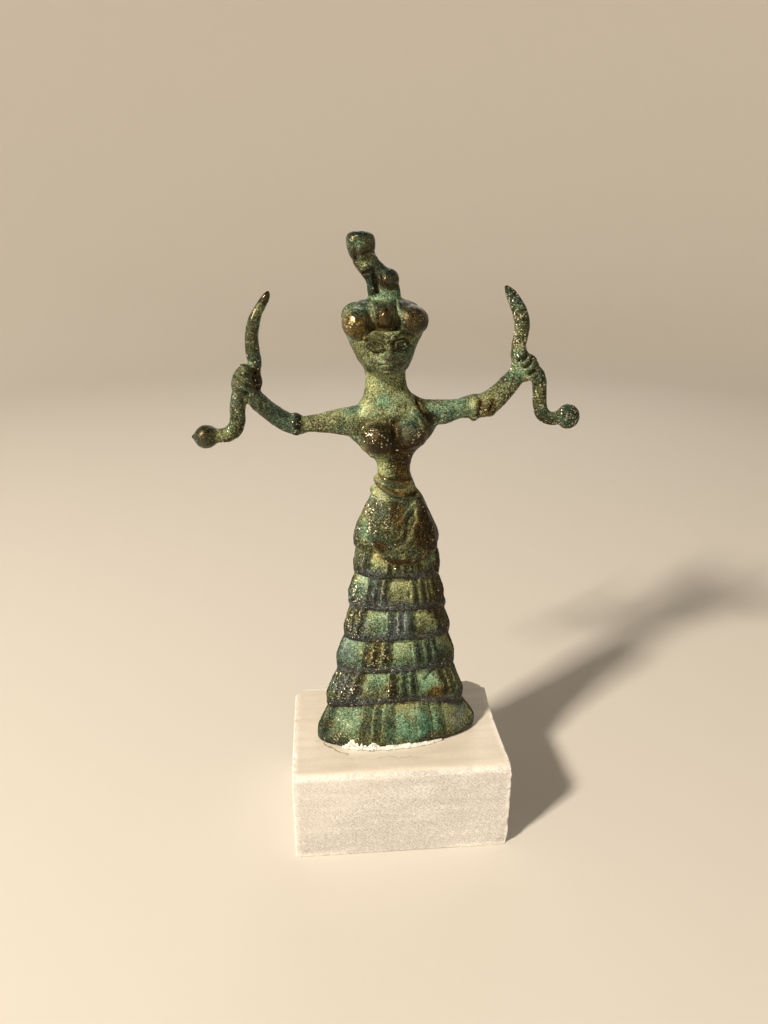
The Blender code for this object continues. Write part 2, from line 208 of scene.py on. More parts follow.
def lost_from_block(points, facing, near_edge):
    """How deep the stone is lost at each point, to chips, to the saw and at the knocked corners."""
    chips = np.clip(grain(points, CHIP_SIZE, 3.0) + 0.5 * grain(points, CHIP_GRIT, 5.0) - 0.05, 0.0, 1.0)
    depth = CHIP_DEPTH * near_edge * chips * np.clip((points[:, 2] - block_low.z) / 0.003, 0.12, 1.0)
    on_side = np.clip(1.0 - 3.0 * np.abs(facing[:, 2]), 0.0, 1.0)
    along = points[:, 0] + SAW_SLANT * points[:, 2] + points[:, 1]
    saw = 0.5 + 0.5 * np.sin(2.0 * math.pi * along / SAW_PITCH + 2.0 * grain(points, SAW_DRIFT, 9.0))
    depth += SAW_DEPTH * on_side * (saw + 0.7 * (1.0 + grain(points, SAW_GRIT, 11.0)))
    for signs, reach, loss in CORNER_KNOCKS:
        corner = np.array(BLOCK_MIDDLE) + 0.5 * np.array(BLOCK_SIZE) * signs
        away = np.linalg.norm(points - corner, axis=1) / reach + 0.15 * grain(points, 0.0012, 17.0)
        depth += loss * np.clip(1.0 - away, 0.0, 1.0)
    return depth


def build_block_mesh():
    """The block's shape: cut, worn, sawn and chipped, with its rubbed front and bright edges marked."""
    mesh = cut_block()
    points = points_of(mesh)
    facing = normals_of(mesh)
    inset = np.sort(np.stack([points[:, 0] - block_low.x, block_high.x - points[:, 0],
                              points[:, 1] - block_low.y, block_high.y - points[:, 1],
                              points[:, 2] - block_low.z, block_high.z - points[:, 2]]), axis=0)
    near_edge = np.clip(1.0 - inset[1] / CHIP_REACH, 0.0, 1.0)
    lengthwise = (points[:, 1] - block_low.y) / BLOCK_SIZE.y
    to_right = np.clip((points[:, 0] - BLOCK_MIDDLE.x) / (0.5 * BLOCK_SIZE.x), 0.0, 1.0)
    high_up = np.clip((points[:, 2] - BLOCK_MIDDLE.z) / (0.5 * BLOCK_SIZE.z), 0.0, 1.0)
    moved = points - facing * lost_from_block(points, facing, near_edge)[:, None]
    moved[:, 0] -= BLOCK_RIGHT_BOW * to_right * high_up * np.sin(math.pi * np.clip(lengthwise, 0.0, 1.0))
    flat_bottom = (points[:, 2] < block_low.z + 0.0006) & (facing[:, 2] < -0.4)
    moved[flat_bottom, 2] = block_low.z
    put_points(mesh, moved)
    rise = block_low.z + RUBBED_FROM + RUBBED_SLOPE * (points[:, 0] - block_low.x - 0.0015)
    rise += 0.002 * grain(points, 0.004, 21.0)
    polished = np.clip((points[:, 2] - rise) / 0.003, 0.0, 1.0) * (facing[:, 1] < -0.6)
    # The edges are worn bright in patches, and least in the middle of the front.
    ragged = 1.1 * np.clip((np.abs(points[:, 0] + 0.001) - 0.009) / 0.006, 0.0, 1.0)
    ragged += 0.9 * grain(points, 0.0045, 23.0)
    worn_edge = near_edge * np.clip(ragged + 0.9 * grain(points, 0.0011, 25.0), 0.0, 1.0)
    store(mesh, {"polished": polished, "worn_edge": worn_edge})
    return mesh


# Sawn and rubbed white marble: fine calcite grains that catch the light, so the sawn sides look sugary,
# and a top that is rubbed smoother, creamier and faintly streaked. Thin glue has spread on it in front
# of the figure.
MARBLE_GRAIN = 0.00023
MARBLE_SUGAR = 0.00034
MARBLE_STREAK = 0.002
MARBLE_CLOUD = 0.011
# The wave pattern's scale that sets the saw's marks about a millimetre apart.
SAW_MARKS = 620.0
FIGURE_FORWARD = 0.0016
GLUE_FILM_PLACE = (0.0, -FIGURE_FORWARD, 0.0)
GLUE_FILM_REACH = (0.0205, 0.0104)
GLUE_FILM_RAGS = 0.0035


def glue_film(marble, place, rubbed, streak):
    """Where thin glue lies on the block's top, and the dark line at its edge: partly dirt, partly painted
    shade along the film's raised edge.
    """
    from_hem = add(marble, "VectorMath", {0: place, 1: GLUE_FILM_PLACE}, operation="SUBTRACT")
    shrink = (1.0 / GLUE_FILM_REACH[0], 1.0 / GLUE_FILM_REACH[1], 0.0)
    from_hem = add(marble, "VectorMath", {0: from_hem, 1: shrink}, operation="MULTIPLY")
    reach = add(marble, "VectorMath", {0: from_hem}, operation="LENGTH", out="Value")
    ragged = add(marble, "TexNoise", {0: place, "Scale": 1.0 / GLUE_FILM_RAGS, "Detail": 4.0})
    reach = add(marble, "Math", {0: ragged, 1: 0.55, 2: reach}, operation="MULTIPLY_ADD")
    film = add(marble, "MapRange", {0: reach, 1: 1.285, 2: 1.275, 4: 0.35})
    rim_out = add(marble, "MapRange", {0: reach, 1: 1.315, 2: 1.29})
    rim_in = add(marble, "MapRange", {0: reach, 1: 1.255, 2: 1.275})
    rim = add(marble, "Math", {0: rim_out, 1: rim_in}, operation="MULTIPLY")
    across = add(marble, "SeparateXYZ", {0: place})
    leftward = add(marble, "MapRange", {0: across, 1: 0.006, 2: -0.004})
    in_front = add(marble, "MapRange", {0: across.node.outputs[1], 1: -0.004, 2: -0.006})
    on_top = add(marble, "Math", {0: leftward, 1: in_front}, operation="MULTIPLY")
    on_top = add(marble, "Math", {0: on_top, 1: rubbed}, operation="MULTIPLY")
    film = add(marble, "Math", {0: film, 1: on_top}, operation="MULTIPLY")
    rim = add(marble, "Math", {0: rim, 1: on_top}, operation="MULTIPLY")
    broken = add(marble, "MapRange", {0: streak, 1: 0.38, 2: 0.52, 4: 0.9})
    rim = add(marble, "Math", {0: rim, 1: broken}, operation="MULTIPLY")
    return film, rim


def build_marble():
    """The block's finish, from the real stone's grain of about a quarter of a millimetre."""
    marble, shader, place = new_finish("White marble, sawn and rubbed")
    facing = add(marble, "SeparateXYZ", {0: add(marble, "NewGeometry", {}, out="Normal")}, out=2)
    rubbed = add(marble, "MapRange", {0: facing, 1: 0.75, 2: 0.97}, interpolation_type="SMOOTHSTEP")
    polished = add(marble, "Attribute", {}, attribute_name="polished", out="Fac")
    worn_edge = add(marble, "Attribute", {}, attribute_name="worn_edge", out="Fac")
    cloud = add(marble, "TexNoise", {0: place, "Scale": 1.0 / MARBLE_CLOUD, "Detail": 2.5, "Distortion": 0.5})
    sugar = add(marble, "TexNoise", {0: place, "Scale": 1.0 / MARBLE_SUGAR, "Detail": 2.0, "Roughness": 0.8})
    grains = add(marble, "TexVoronoi", {0: place, "Scale": 1.0 / MARBLE_GRAIN}, out="Color")
    grains = add(marble, "SeparateColor", {0: grains})
    stretched = add(marble, "Mapping", {0: place, "Rotation": (0.0, 0.0, 0.12), "Scale": (0.12, 1.0, 1.0)})
    streak = add(marble, "TexNoise", {0: stretched, "Scale": 1.0 / MARBLE_STREAK, "Detail": 5.0})
    cream, white = (add(marble, "Mix", {0: cloud, 6: linear(dull), 7: linear(clear)}, data_type="RGBA", out=2)
                    for dull, clear in (("#c3b9a8", "#dad4c8"), ("#bfbbb6", "#d0cdc9")))
    smooth_share = add(marble, "Math", {0: polished, 1: 0.3, 2: rubbed}, operation="MULTIPLY_ADD")
    creamy = add(marble, "Math", {0: polished, 1: 0.15, 2: rubbed}, operation="MULTIPLY_ADD")
    tone = add(marble, "Mix", {0: creamy, 6: white, 7: cream}, data_type="RGBA", out=2)
    banded = add(marble, "MapRange", {0: streak, 1: 0.35, 2: 0.65, 3: 0.94, 4: 1.06})
    sawn = add(marble, "TexWave", {0: place, "Scale": SAW_MARKS, "Distortion": 7.0, "Detail": 3.0},
               bands_direction="DIAGONAL", out="Fac")
    sugary = add(marble, "Math", {0: grains, 1: sugar}, operation="ADD")
    sugary = add(marble, "Math", {0: sawn, 1: 0.25, 2: sugary}, operation="MULTIPLY_ADD")
    sparkle = add(marble, "MapRange", {0: sugary, 1: 0.4, 2: 1.85, 3: 0.68, 4: 1.30})
    calm = add(marble, "MapRange", {0: sugary, 1: 0.4, 2: 1.85, 3: 0.94, 4: 1.06})
    sparkle = add(marble, "Mix", {0: smooth_share, 2: sparkle, 3: calm})
    shade = add(marble, "Math", {0: banded, 1: sparkle}, operation="MULTIPLY")
    tone = add(marble, "Mix", {0: 1.0, 6: tone, 7: shade}, data_type="RGBA", blend_type="MULTIPLY", out=2)
    sugary = add(marble, "MapRange", {0: sugar, 1: 0.35, 2: 0.55, 3: 0.25, 4: 1.0})
    sugary = add(marble, "Math", {0: sugary, 1: worn_edge}, operation="MULTIPLY")
    tone = add(marble, "Mix", {0: sugary, 6: tone, 7: linear("#f3eee6")}, data_type="RGBA", out=2)
    film, rim = glue_film(marble, place, rubbed, streak)
    tone = add(marble, "Mix", {0: film, 6: tone, 7: linear("#d9d5c6")}, data_type="RGBA", out=2)
    # The dark line at the glue film's edge is partly dirt and partly painted shade of that edge.
    colour = add(marble, "Mix", {0: rim, 6: tone, 7: linear("#84755c")}, data_type="RGBA", out=2)
    rough = add(marble, "MapRange", {0: smooth_share, 3: 0.75, 4: 0.5})
    height = add(marble, "Math", {0: sugar, 1: grains}, operation="ADD")
    strength = add(marble, "MapRange", {0: smooth_share, 3: 0.9, 4: 0.18})
    bump = add(marble, "Bump", {"Strength": strength, "Distance": 0.00012, "Height": height})
    feed(marble, shader, {"Base Color": colour, "Roughness": rough, "Normal": bump, "IOR": 1.5,
                          "Subsurface Weight": 0.12, "Subsurface Radius": (0.0012, 0.0010, 0.0008),
                          "Subsurface Scale": 1.0})
    return marble


finished("sawn_marble_block", build_block_mesh(), build_marble(), "marble_block")

# The goddess: one bronze casting from a mould, cast in sand, with every form run together and softened.
# It stands on its hem. The carving is written in parts of its height, from the foot up, in its own
# frame: X to its left hand, -Y to the front, and turned a little on the block.
figure_low, figure_high = (Vector(corner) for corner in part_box("goddess_figurine"))
HEIGHT_IN_PARTS = 113.8
PART = (figure_high.z - figure_low.z) / HEIGHT_IN_PARTS
FIGURE_TURN = math.radians(4.5)
FIGURE_SEAT = (Matrix.Translation((0.0, -FIGURE_FORWARD, figure_low.z))
               @ Matrix.Rotation(FIGURE_TURN, 4, "Z") @ Matrix.Scale(PART, 4))
SKIN_CELL = 0.27
SKIN_TRIANGLES = 190000
SOFTENING = 2
CHEST_SOFTENING = 8
# The chest, which is smoother, and the face, which has fewer lumps: middles in X and Z, and reaches.
CHEST = (-1.7, 76.0, 8.0, 6.0)
FACE = (-3.1, 92.0, 5.5, 4.5)
FACE_MIDDLE = FACE[0]
# The knocks and lumps of the cast skin, each with its depth and its width.
SKIN_LUMPS = [(0.12, 4.0), (0.09, 1.6), (0.06, 0.75)]

# Each flounce from the hem up: the low edge's reach to the left, right and front, its height at the
# left, the front and the right, the turns in degrees where the front's panels meet, and whether the
# first of those panels is ribbed.
FLOUNCES = [
    (19.2, 19.1, 6.9, 0.0, 0.0, 0.0, (-66, -33, -6, 13, 36, 79), False),
    (16.8, 16.1, 6.0, 9.4, 11.9, 6.9, (-92, -35, -11, 16, 37, 84), True),
    (14.2, 13.6, 5.5, 18.9, 19.6, 18.3, (-92, -41, -9, 14, 45, 78), False),
    (12.4, 12.2, 5.2, 27.1, 27.7, 26.4, (-92, -45, -16, 14, 44, 84), True),
    (11.1, 11.1, 4.9, 35.3, 35.1, 33.3, (-92, -47, -15, 12, 71, 96), False),
    (9.9, 9.4, 4.7, 43.2, 42.8, 41.5, (-92, -47, -19, 30, 66, 96), True),
    (9.9, 9.0, 4.9, 49.5, 49.5, 49.0, (-90, 90), False),
]
FLOUNCE_LEDGE = 1.3
FLOUNCE_TUCK = 1.6
FLOUNCE_BULGE = 1.3
FLOUNCE_LIP = 0.12
FLOUNCE_WAVE = 0.22
PANEL_RECESS = 0.6
BACK_PANEL = 26.0
RIB_WIDTH = 10.5
RIB_HEIGHT = 0.55
RIB_ROUNDNESS = 0.5
RIB_UNEVENNESS = 0.035


def ease(low, high, value):
    """From 0 at the low value to 1 at the high one, without corners."""
    share = min(1.0, max(0.0, (value - low) / (high - low)))
    return share * share * (3.0 - 2.0 * share)


def smooth(knots, t):
    """The values at t, from 0 to 1, on a smooth curve through the knots."""
    place = t * (len(knots) - 1)
    i = min(int(place), len(knots) - 2)
    f = place - i
    around = (knots[max(i - 1, 0)], knots[i], knots[i + 1], knots[min(i + 2, len(knots) - 1)])
    return [0.5 * (2 * q + (r - p) * f + (2 * p - 5 * q + 4 * r - s) * f ** 2
                   + (3 * q - p - 3 * r + s) * f ** 3) for p, q, r, s in zip(*around)]


def join(bm, form):
    """Add a finished form to the shape; each is made in a mesh of its own, which is far quicker."""
    mesh = mesh_of(form, "form")
    bm.from_mesh(mesh)
    bpy.data.meshes.remove(mesh)


def tube(bm, sides, rows, place):
    """A capped tube whose points are put in place by a function of the turn from the front and of t."""
    form = bmesh.new()
    bmesh.ops.create_cone(form, cap_ends=True, segments=sides, radius1=1.0, radius2=1.0, depth=1.0,
                          matrix=Matrix.Translation((0.0, 0.0, 0.5)))
    uprights = [edge for edge in form.edges if abs(edge.verts[0].co.z - edge.verts[1].co.z) > 0.5]
    bmesh.ops.subdivide_edges(form, edges=uprights, cuts=rows - 1)
    for vert in form.verts:
        turn = math.atan2(vert.co.x, -vert.co.y)
        vert.co = place(turn, min(max(vert.co.z, 0.0), 1.0))
    join(bm, form)


def body(bm, sides, rows, knots, boxiness=1.0):
    """A form through level sections: each knot is a height and a reach left, right, front and back."""
    def place(turn, t):
        height, left, right, front, back = smooth(knots, t)
        ahead = math.cos(turn)
        middle = 0.5 * (right - left)
        half = 0.5 * (right + left)
        depth = (front if ahead > 0.0 else back) * math.copysign(abs(ahead) ** boxiness, ahead)
        return Vector((middle + half * math.sin(turn), -depth, height))
    tube(bm, sides, rows, place)


def limb(bm, sides, rows, knots, flat=1.0):
    """A round form along a path: each knot is a place in X, Y and Z and a radius."""
    def place(turn, t):
        x, y, z, radius = smooth(knots, t)
        near = smooth(knots, max(t - 0.01, 0.0))
        far = smooth(knots, min(t + 0.01, 1.0))
        along = Vector(far[:3]) - Vector(near[:3])
        side = along.cross(Vector((0.0, 1.0, 0.0))).normalized()
        front = along.cross(side).normalized()
        return Vector((x, y, z)) + radius * (math.sin(turn) * side + flat * math.cos(turn) * front)
    tube(bm, sides, rows, place)


def bead(bm, centre, radii, tilt=0.0):
    """An egg shape with its three radii, tilted in the plane of the figure."""
    form = bmesh.new()
    bmesh.ops.create_uvsphere(form, u_segments=28, v_segments=18, radius=1.0,
                              matrix=Matrix.Translation(centre) @ Matrix.Rotation(math.radians(tilt), 4, "Y")
                              @ Matrix.Diagonal((*radii, 1.0)))
    join(bm, form)


def level_at(edge, turn):
    """The height of a flounce's low edge at a turn from the front."""
    side_height = edge[5] if math.sin(turn) > 0.0 else edge[3]
    return edge[4] + (side_height - edge[4]) * math.sin(turn) ** 2


def panel_at(edge, turn):
    """Which panel lies at a turn, whether it is ribbed, how far across it the turn is, and its ribs."""
    degrees = math.degrees(turn)
    meets, ribbed_first = edge[6], edge[7]
    if degrees < meets[0]:
        steps = math.floor((degrees - meets[0]) / BACK_PANEL)
        start, width, index = meets[0] + steps * BACK_PANEL, BACK_PANEL, steps
    elif degrees >= meets[-1]:
        steps = math.floor((degrees - meets[-1]) / BACK_PANEL)
        start, width, index = meets[-1] + steps * BACK_PANEL, BACK_PANEL, len(meets) - 1 + steps
    else:
        index = max(i for i in range(len(meets) - 1) if degrees >= meets[i])
        start, width = meets[index], meets[index + 1] - meets[index]
    ribbed = (index % 2 == 0) == ribbed_first
    return ribbed, (degrees - start) / width, max(2, round(width / RIB_WIDTH))


def ribs_at(edge, turn):
    """How far the ribs stand out at a turn, from 0 on a plain panel to 1 on a rib's crown."""
    strayed = turn + RIB_UNEVENNESS * noise.noise(Vector((5.0 * turn, edge[0], 0.0)))
    ribbed, across, ribs = panel_at(edge, strayed)
    crown = 1.0 + 0.25 * noise.noise(Vector((math.floor(ribs * across), 3.0 * edge[0], 4.0 * edge[2])))
    return crown * abs(math.sin(math.pi * ribs * across)) ** RIB_ROUNDNESS if ribbed else 0.0


def add_skirt(bm):
    """The flounces, each tucked under the one above, with ribbed and plain panels in turn."""
    for i, (edge, above) in enumerate(zip(FLOUNCES, FLOUNCES[1:])):
        left, right, front = edge[:3]
        top_left, top_right, top_front = (reach - FLOUNCE_LEDGE for reach in above[:3])
        wave, depth = (0.0, 0.85) if i == 0 else (1.0, 1.0)

        def place(turn, t):
            low = level_at(edge, turn)
            low += FLOUNCE_WAVE * wave * noise.noise(Vector((4.0 * turn, 7.0 * edge[0], 0.0)))
            high = level_at(above, turn) + FLOUNCE_TUCK
            flare = 1.0 - (max(0.0, t - FLOUNCE_LIP) / (1.0 - FLOUNCE_LIP)) ** FLOUNCE_BULGE
            rib = ribs_at(edge, turn)
            relief = ease(0.08, 0.34, t) * depth * (RIB_HEIGHT * rib - PANEL_RECESS * (1.0 - min(1.0, rib)))
            middle = 0.5 * (right - left)
            wide = top_left + top_right + (left + right - top_left - top_right) * flare
            deep = top_front + (front - top_front) * flare
            return Vector((middle + (0.5 * wide + relief) * math.sin(turn),
                           -(deep + relief) * math.cos(turn), low + (high - low) * t))
        tube(bm, 300, 24, place)


def add_hips(bm):
    """The hips in the back apron, whose edge shows at the sides, and the front apron's thick lobe."""
    body(bm, 72, 36, [(49.2, 9.4, 8.6, 4.6, 4.4), (49.7, 9.8, 9.0, 4.9, 4.6), (51.2, 9.9, 9.1, 5.0, 4.6),
                      (54.3, 9.2, 8.0, 4.9, 4.4), (57.3, 7.8, 6.6, 4.5, 4.1), (60.6, 6.1, 5.1, 3.9, 3.6),
                      (63.0, 4.9, 3.2, 3.2, 3.0)])
    body(bm, 72, 40, [(46.6, 0.6, 3.0, 5.2, 0.5), (47.0, 3.0, 5.4, 6.2, 0.5), (48.2, 4.8, 7.2, 6.9, 0.5),
                      (50.4, 6.2, 8.2, 7.1, 0.5), (53.8, 7.3, 7.6, 6.5, 0.5), (57.5, 7.2, 6.2, 5.6, 0.5),
                      (61.0, 5.6, 4.6, 4.3, 0.5)], boxiness=0.42)


def add_torso(bm):
    """The belt's two rolls, the waist, the chest in its open bodice, and the neck."""
    bead(bm, (-1.2, 0.0, 61.6), (4.9, 4.4, 1.3), 5.0)
    bead(bm, (-1.3, 0.0, 64.0), (4.1, 3.9, 1.3), 5.0)
    body(bm, 64, 50, [(60.0, 5.9, 4.6, 3.6, 3.4), (65.5, 4.6, 2.7, 2.9, 2.7), (68.1, 4.7, 2.7, 2.9, 2.6),
                      (70.2, 6.3, 3.6, 3.3, 2.8), (72.2, 8.5, 5.6, 3.6, 3.0), (74.5, 10.4, 7.4, 3.9, 3.1),
                      (77.0, 10.6, 8.6, 3.9, 3.1), (79.2, 9.6, 8.2, 3.7, 3.1), (80.8, 8.4, 6.2, 3.2, 3.0),
                      (82.0, 7.5, 3.6, 2.3, 3.1), (83.7, 7.0, 2.0, 1.4, 3.2), (86.5, 6.7, 1.4, 1.0, 3.4),
                      (88.5, 6.9, 1.6, 1.6, 3.8)])
    bead(bm, (-4.9, -3.0, 74.5), (3.5, 3.9, 3.5))
    bead(bm, (2.0, -2.9, 74.9), (3.7, 3.7, 3.2))


def add_head(bm):
    """The hair as a wedge under the cap, the face on it, and the flat cap with its round bosses."""
    body(bm, 64, 40, [(85.5, 6.5, 1.2, 0.9, 3.4), (87.3, 6.9, 1.4, 1.9, 3.8), (88.2, 7.2, 1.6, 5.2, 4.2),
                      (90.1, 8.5, 2.5, 5.8, 4.7), (93.8, 10.2, 4.0, 5.3, 5.3), (96.5, 11.0, 5.2, 4.8, 5.7),
                      (99.0, 10.6, 4.6, 4.8, 5.4)], boxiness=0.7)
    bead(bm, (FACE_MIDDLE, -3.0, 93.0), (5.0, 3.9, 5.2))
    bead(bm, (FACE_MIDDLE, -3.8, 90.1), (4.2, 3.5, 2.5))
    bead(bm, (-6.2, -3.3, 89.7), (1.4, 2.1, 1.9))
    bead(bm, (FACE_MIDDLE, -5.9, 88.9), (1.9, 1.5, 1.2))
    bead(bm, (FACE_MIDDLE, -6.9, 92.6), (0.9, 1.8, 2.2))
    bead(bm, (FACE_MIDDLE, -7.7, 91.5), (1.2, 1.2, 0.85))
    bead(bm, (FACE_MIDDLE, -6.8, 89.9), (1.7, 1.0, 0.8))
    for hand in (-1.0, 1.0):
        bead(bm, (FACE_MIDDLE + 2.3 * hand, -5.8, 93.4), (1.35, 0.8, 0.85))
    body(bm, 72, 24, [(96.2, 8.8, 2.6, 4.4, 4.6), (97.2, 9.4, 3.2, 4.8, 5.0), (99.4, 9.2, 3.2, 4.9, 5.1),
                      (100.8, 8.2, 2.2, 4.4, 4.6), (101.3, 6.6, 0.8, 2.6, 2.8)])
    bead(bm, (-8.7, -3.2, 97.3), (3.0, 3.2, 3.05))
    bead(bm, (2.0, -3.0, 97.6), (3.25, 3.0, 2.9))
    for degrees in (120, 180, -120):
        turn = math.radians(degrees)
        bead(bm, (FACE_MIDDLE + 5.9 * math.sin(turn), -4.5 * math.cos(turn), 97.9), (2.9, 2.5, 2.8))
    body(bm, 40, 16, [(97.0, 5.2, -2.2, 5.6, 0.0), (97.2, 5.7, -1.7, 6.9, 0.0), (98.7, 5.9, -1.5, 7.3, 0.0),
                      (100.2, 5.6, -1.8, 6.5, 0.0), (100.9, 4.8, -2.6, 5.0, 0.0)], boxiness=0.6)


def add_cat(bm):
    """The seated cat on its small round foot: haunch, forelegs, chest and raised square head."""
    body(bm, 40, 28, [(100.6, 6.9, 0.8, 2.6, 2.6), (101.8, 6.2, 0.3, 2.1, 2.1), (103.3, 5.9, 0.2, 1.4, 1.5),
                      (105.0, 6.6, -0.4, 1.4, 1.6), (106.4, 7.8, -1.4, 1.5, 1.6),
                      (107.5, 8.7, -2.8, 1.7, 1.7), (108.8, 9.2, -4.1, 1.9, 1.8),
                      (110.0, 9.5, -4.7, 1.9, 1.8)])
    bead(bm, (-2.4, -0.2, 105.0), (2.4, 2.2, 2.1))
    limb(bm, 16, 16, [(-5.4, -0.6, 102.4, 1.0), (-5.6, -0.8, 104.8, 1.1), (-6.6, -0.7, 107.4, 1.6)])
    body(bm, 40, 20, [(108.9, 9.3, -4.9, 1.9, 1.8), (109.8, 9.8, -4.8, 2.3, 2.2),
                      (111.8, 10.2, -4.7, 2.5, 2.4), (113.2, 10.0, -5.0, 2.2, 2.1),
                      (113.8, 8.9, -5.9, 1.4, 1.3)], boxiness=0.8)


def mirrored_reach(knots):
    """Knots whose first value is a reach to the left, as places in X."""
    return [(-reach, *rest) for reach, *rest in knots]


def add_arms(bm):
    """Both arms, out level from the shoulders and bent up at the elbows, with the elbows' knobs."""
    limb(bm, 32, 50, mirrored_reach([(4.0, 0.0, 78.3, 2.9), (8.0, 0.0, 77.5, 3.1), (11.5, 0.0, 77.2, 2.8),
                                     (15.0, 0.0, 77.2, 2.1), (18.2, 0.0, 77.1, 1.7), (21.0, 0.0, 76.9, 1.9),
                                     (23.6, 0.0, 78.0, 1.95), (26.4, 0.0, 80.2, 1.85), (28.9, 0.0, 82.8, 1.8),
                                     (30.2, 0.0, 85.3, 1.6)]))
    bead(bm, (-21.2, -0.2, 77.2), (1.7, 2.2, 2.35))
    limb(bm, 32, 50, [(2.0, 0.0, 78.6, 2.4), (6.0, 0.0, 78.5, 2.6), (9.5, 0.0, 78.4, 2.6),
                      (12.5, 0.0, 78.9, 2.1), (15.2, 0.0, 79.3, 2.4), (18.4, 0.0, 79.6, 2.6),
                      (20.8, 0.0, 81.2, 2.4), (22.9, 0.0, 83.4, 2.1), (24.6, 0.0, 85.4, 1.9),
                      (25.8, 0.0, 87.0, 1.7)])
    bead(bm, (15.9, -0.2, 79.1), (1.5, 2.5, 2.9))
    bead(bm, (19.0, -0.7, 79.5), (1.8, 2.2, 2.4))


def add_hands(bm):
    """Both fists round their snakes, each with four fingers laid across the front."""
    bead(bm, (-30.9, 0.0, 86.3), (2.4, 2.0, 3.3), 20.0)
    bead(bm, (-28.8, 0.3, 86.3), (1.5, 1.5, 2.8))
    for x, z, length, tilt in ((-30.3, 89.1, 1.35, 43.0), (-30.6, 87.2, 1.8, 40.0), (-31.2, 85.85, 1.8, 42.0),
                               (-31.9, 84.8, 1.65, 43.0)):
        bead(bm, (x, -2.0, z), (length, 1.3, 0.72), tilt)
    bead(bm, (26.4, 0.0, 87.1), (3.0, 2.1, 3.0), -30.0)
    bead(bm, (25.1, 0.0, 89.8), (1.8, 1.8, 2.6), -8.0)
    for x, z, length, tilt in ((24.8, 90.4, 1.7, -50.0), (25.8, 88.9, 1.5, -44.0), (26.9, 87.6, 1.5, -45.0),
                               (27.9, 85.8, 1.6, -40.0)):
        bead(bm, (x, -1.9, z), (length, 1.2, 0.72), tilt)


def add_snakes(bm):
    """Both snakes, tail up and head out and down, held in the fists."""
    limb(bm, 24, 80, mirrored_reach([
        (25.1, 0.0, 103.3, 0.2), (25.7, 0.0, 102.2, 0.7), (26.5, 0.0, 100.9, 0.85), (27.4, 0.0, 99.5, 1.0),
        (28.3, 0.0, 97.4, 1.25), (28.8, 0.0, 94.8, 1.35), (28.8, 0.0, 92.0, 1.35), (28.6, 0.0, 89.4, 1.4),
        (29.4, 0.0, 87.0, 1.5), (30.8, 0.0, 85.0, 1.6), (32.0, 0.0, 83.0, 1.6), (32.5, 0.0, 80.5, 1.6),
        (32.7, 0.0, 78.2, 1.6), (33.5, 0.0, 76.4, 1.55), (35.2, 0.0, 75.5, 1.45), (37.0, 0.0, 75.4, 1.4),
        (38.6, 0.0, 75.3, 1.6)]))
    bead(bm, (-39.0, 0.0, 75.3), (2.5, 2.2, 2.35))
    limb(bm, 14, 10, mirrored_reach([(39.5, 0.0, 75.3, 1.8), (41.0, 0.0, 75.4, 0.9), (41.9, 0.0, 75.5, 0.3)]))
    limb(bm, 24, 80, [
        (21.3, 0.0, 103.4, 0.25), (22.0, 0.0, 102.6, 0.8), (23.0, 0.0, 101.2, 1.2), (24.3, 0.0, 99.1, 1.45),
        (25.2, 0.0, 96.4, 1.6), (25.3, 0.0, 94.0, 1.5), (24.9, 0.0, 91.6, 1.5), (25.6, 0.0, 89.2, 1.6),
        (27.4, 0.0, 87.0, 1.6), (29.4, 0.0, 85.2, 1.6), (30.0, 0.0, 82.6, 1.55), (30.2, 0.0, 79.8, 1.5),
        (30.9, 0.0, 77.3, 1.5), (32.6, 0.0, 76.0, 1.4), (34.4, 0.0, 76.0, 1.4), (36.0, 0.0, 76.2, 1.6)])
    bead(bm, (36.8, 0.0, 76.3), (2.5, 2.3, 2.7))


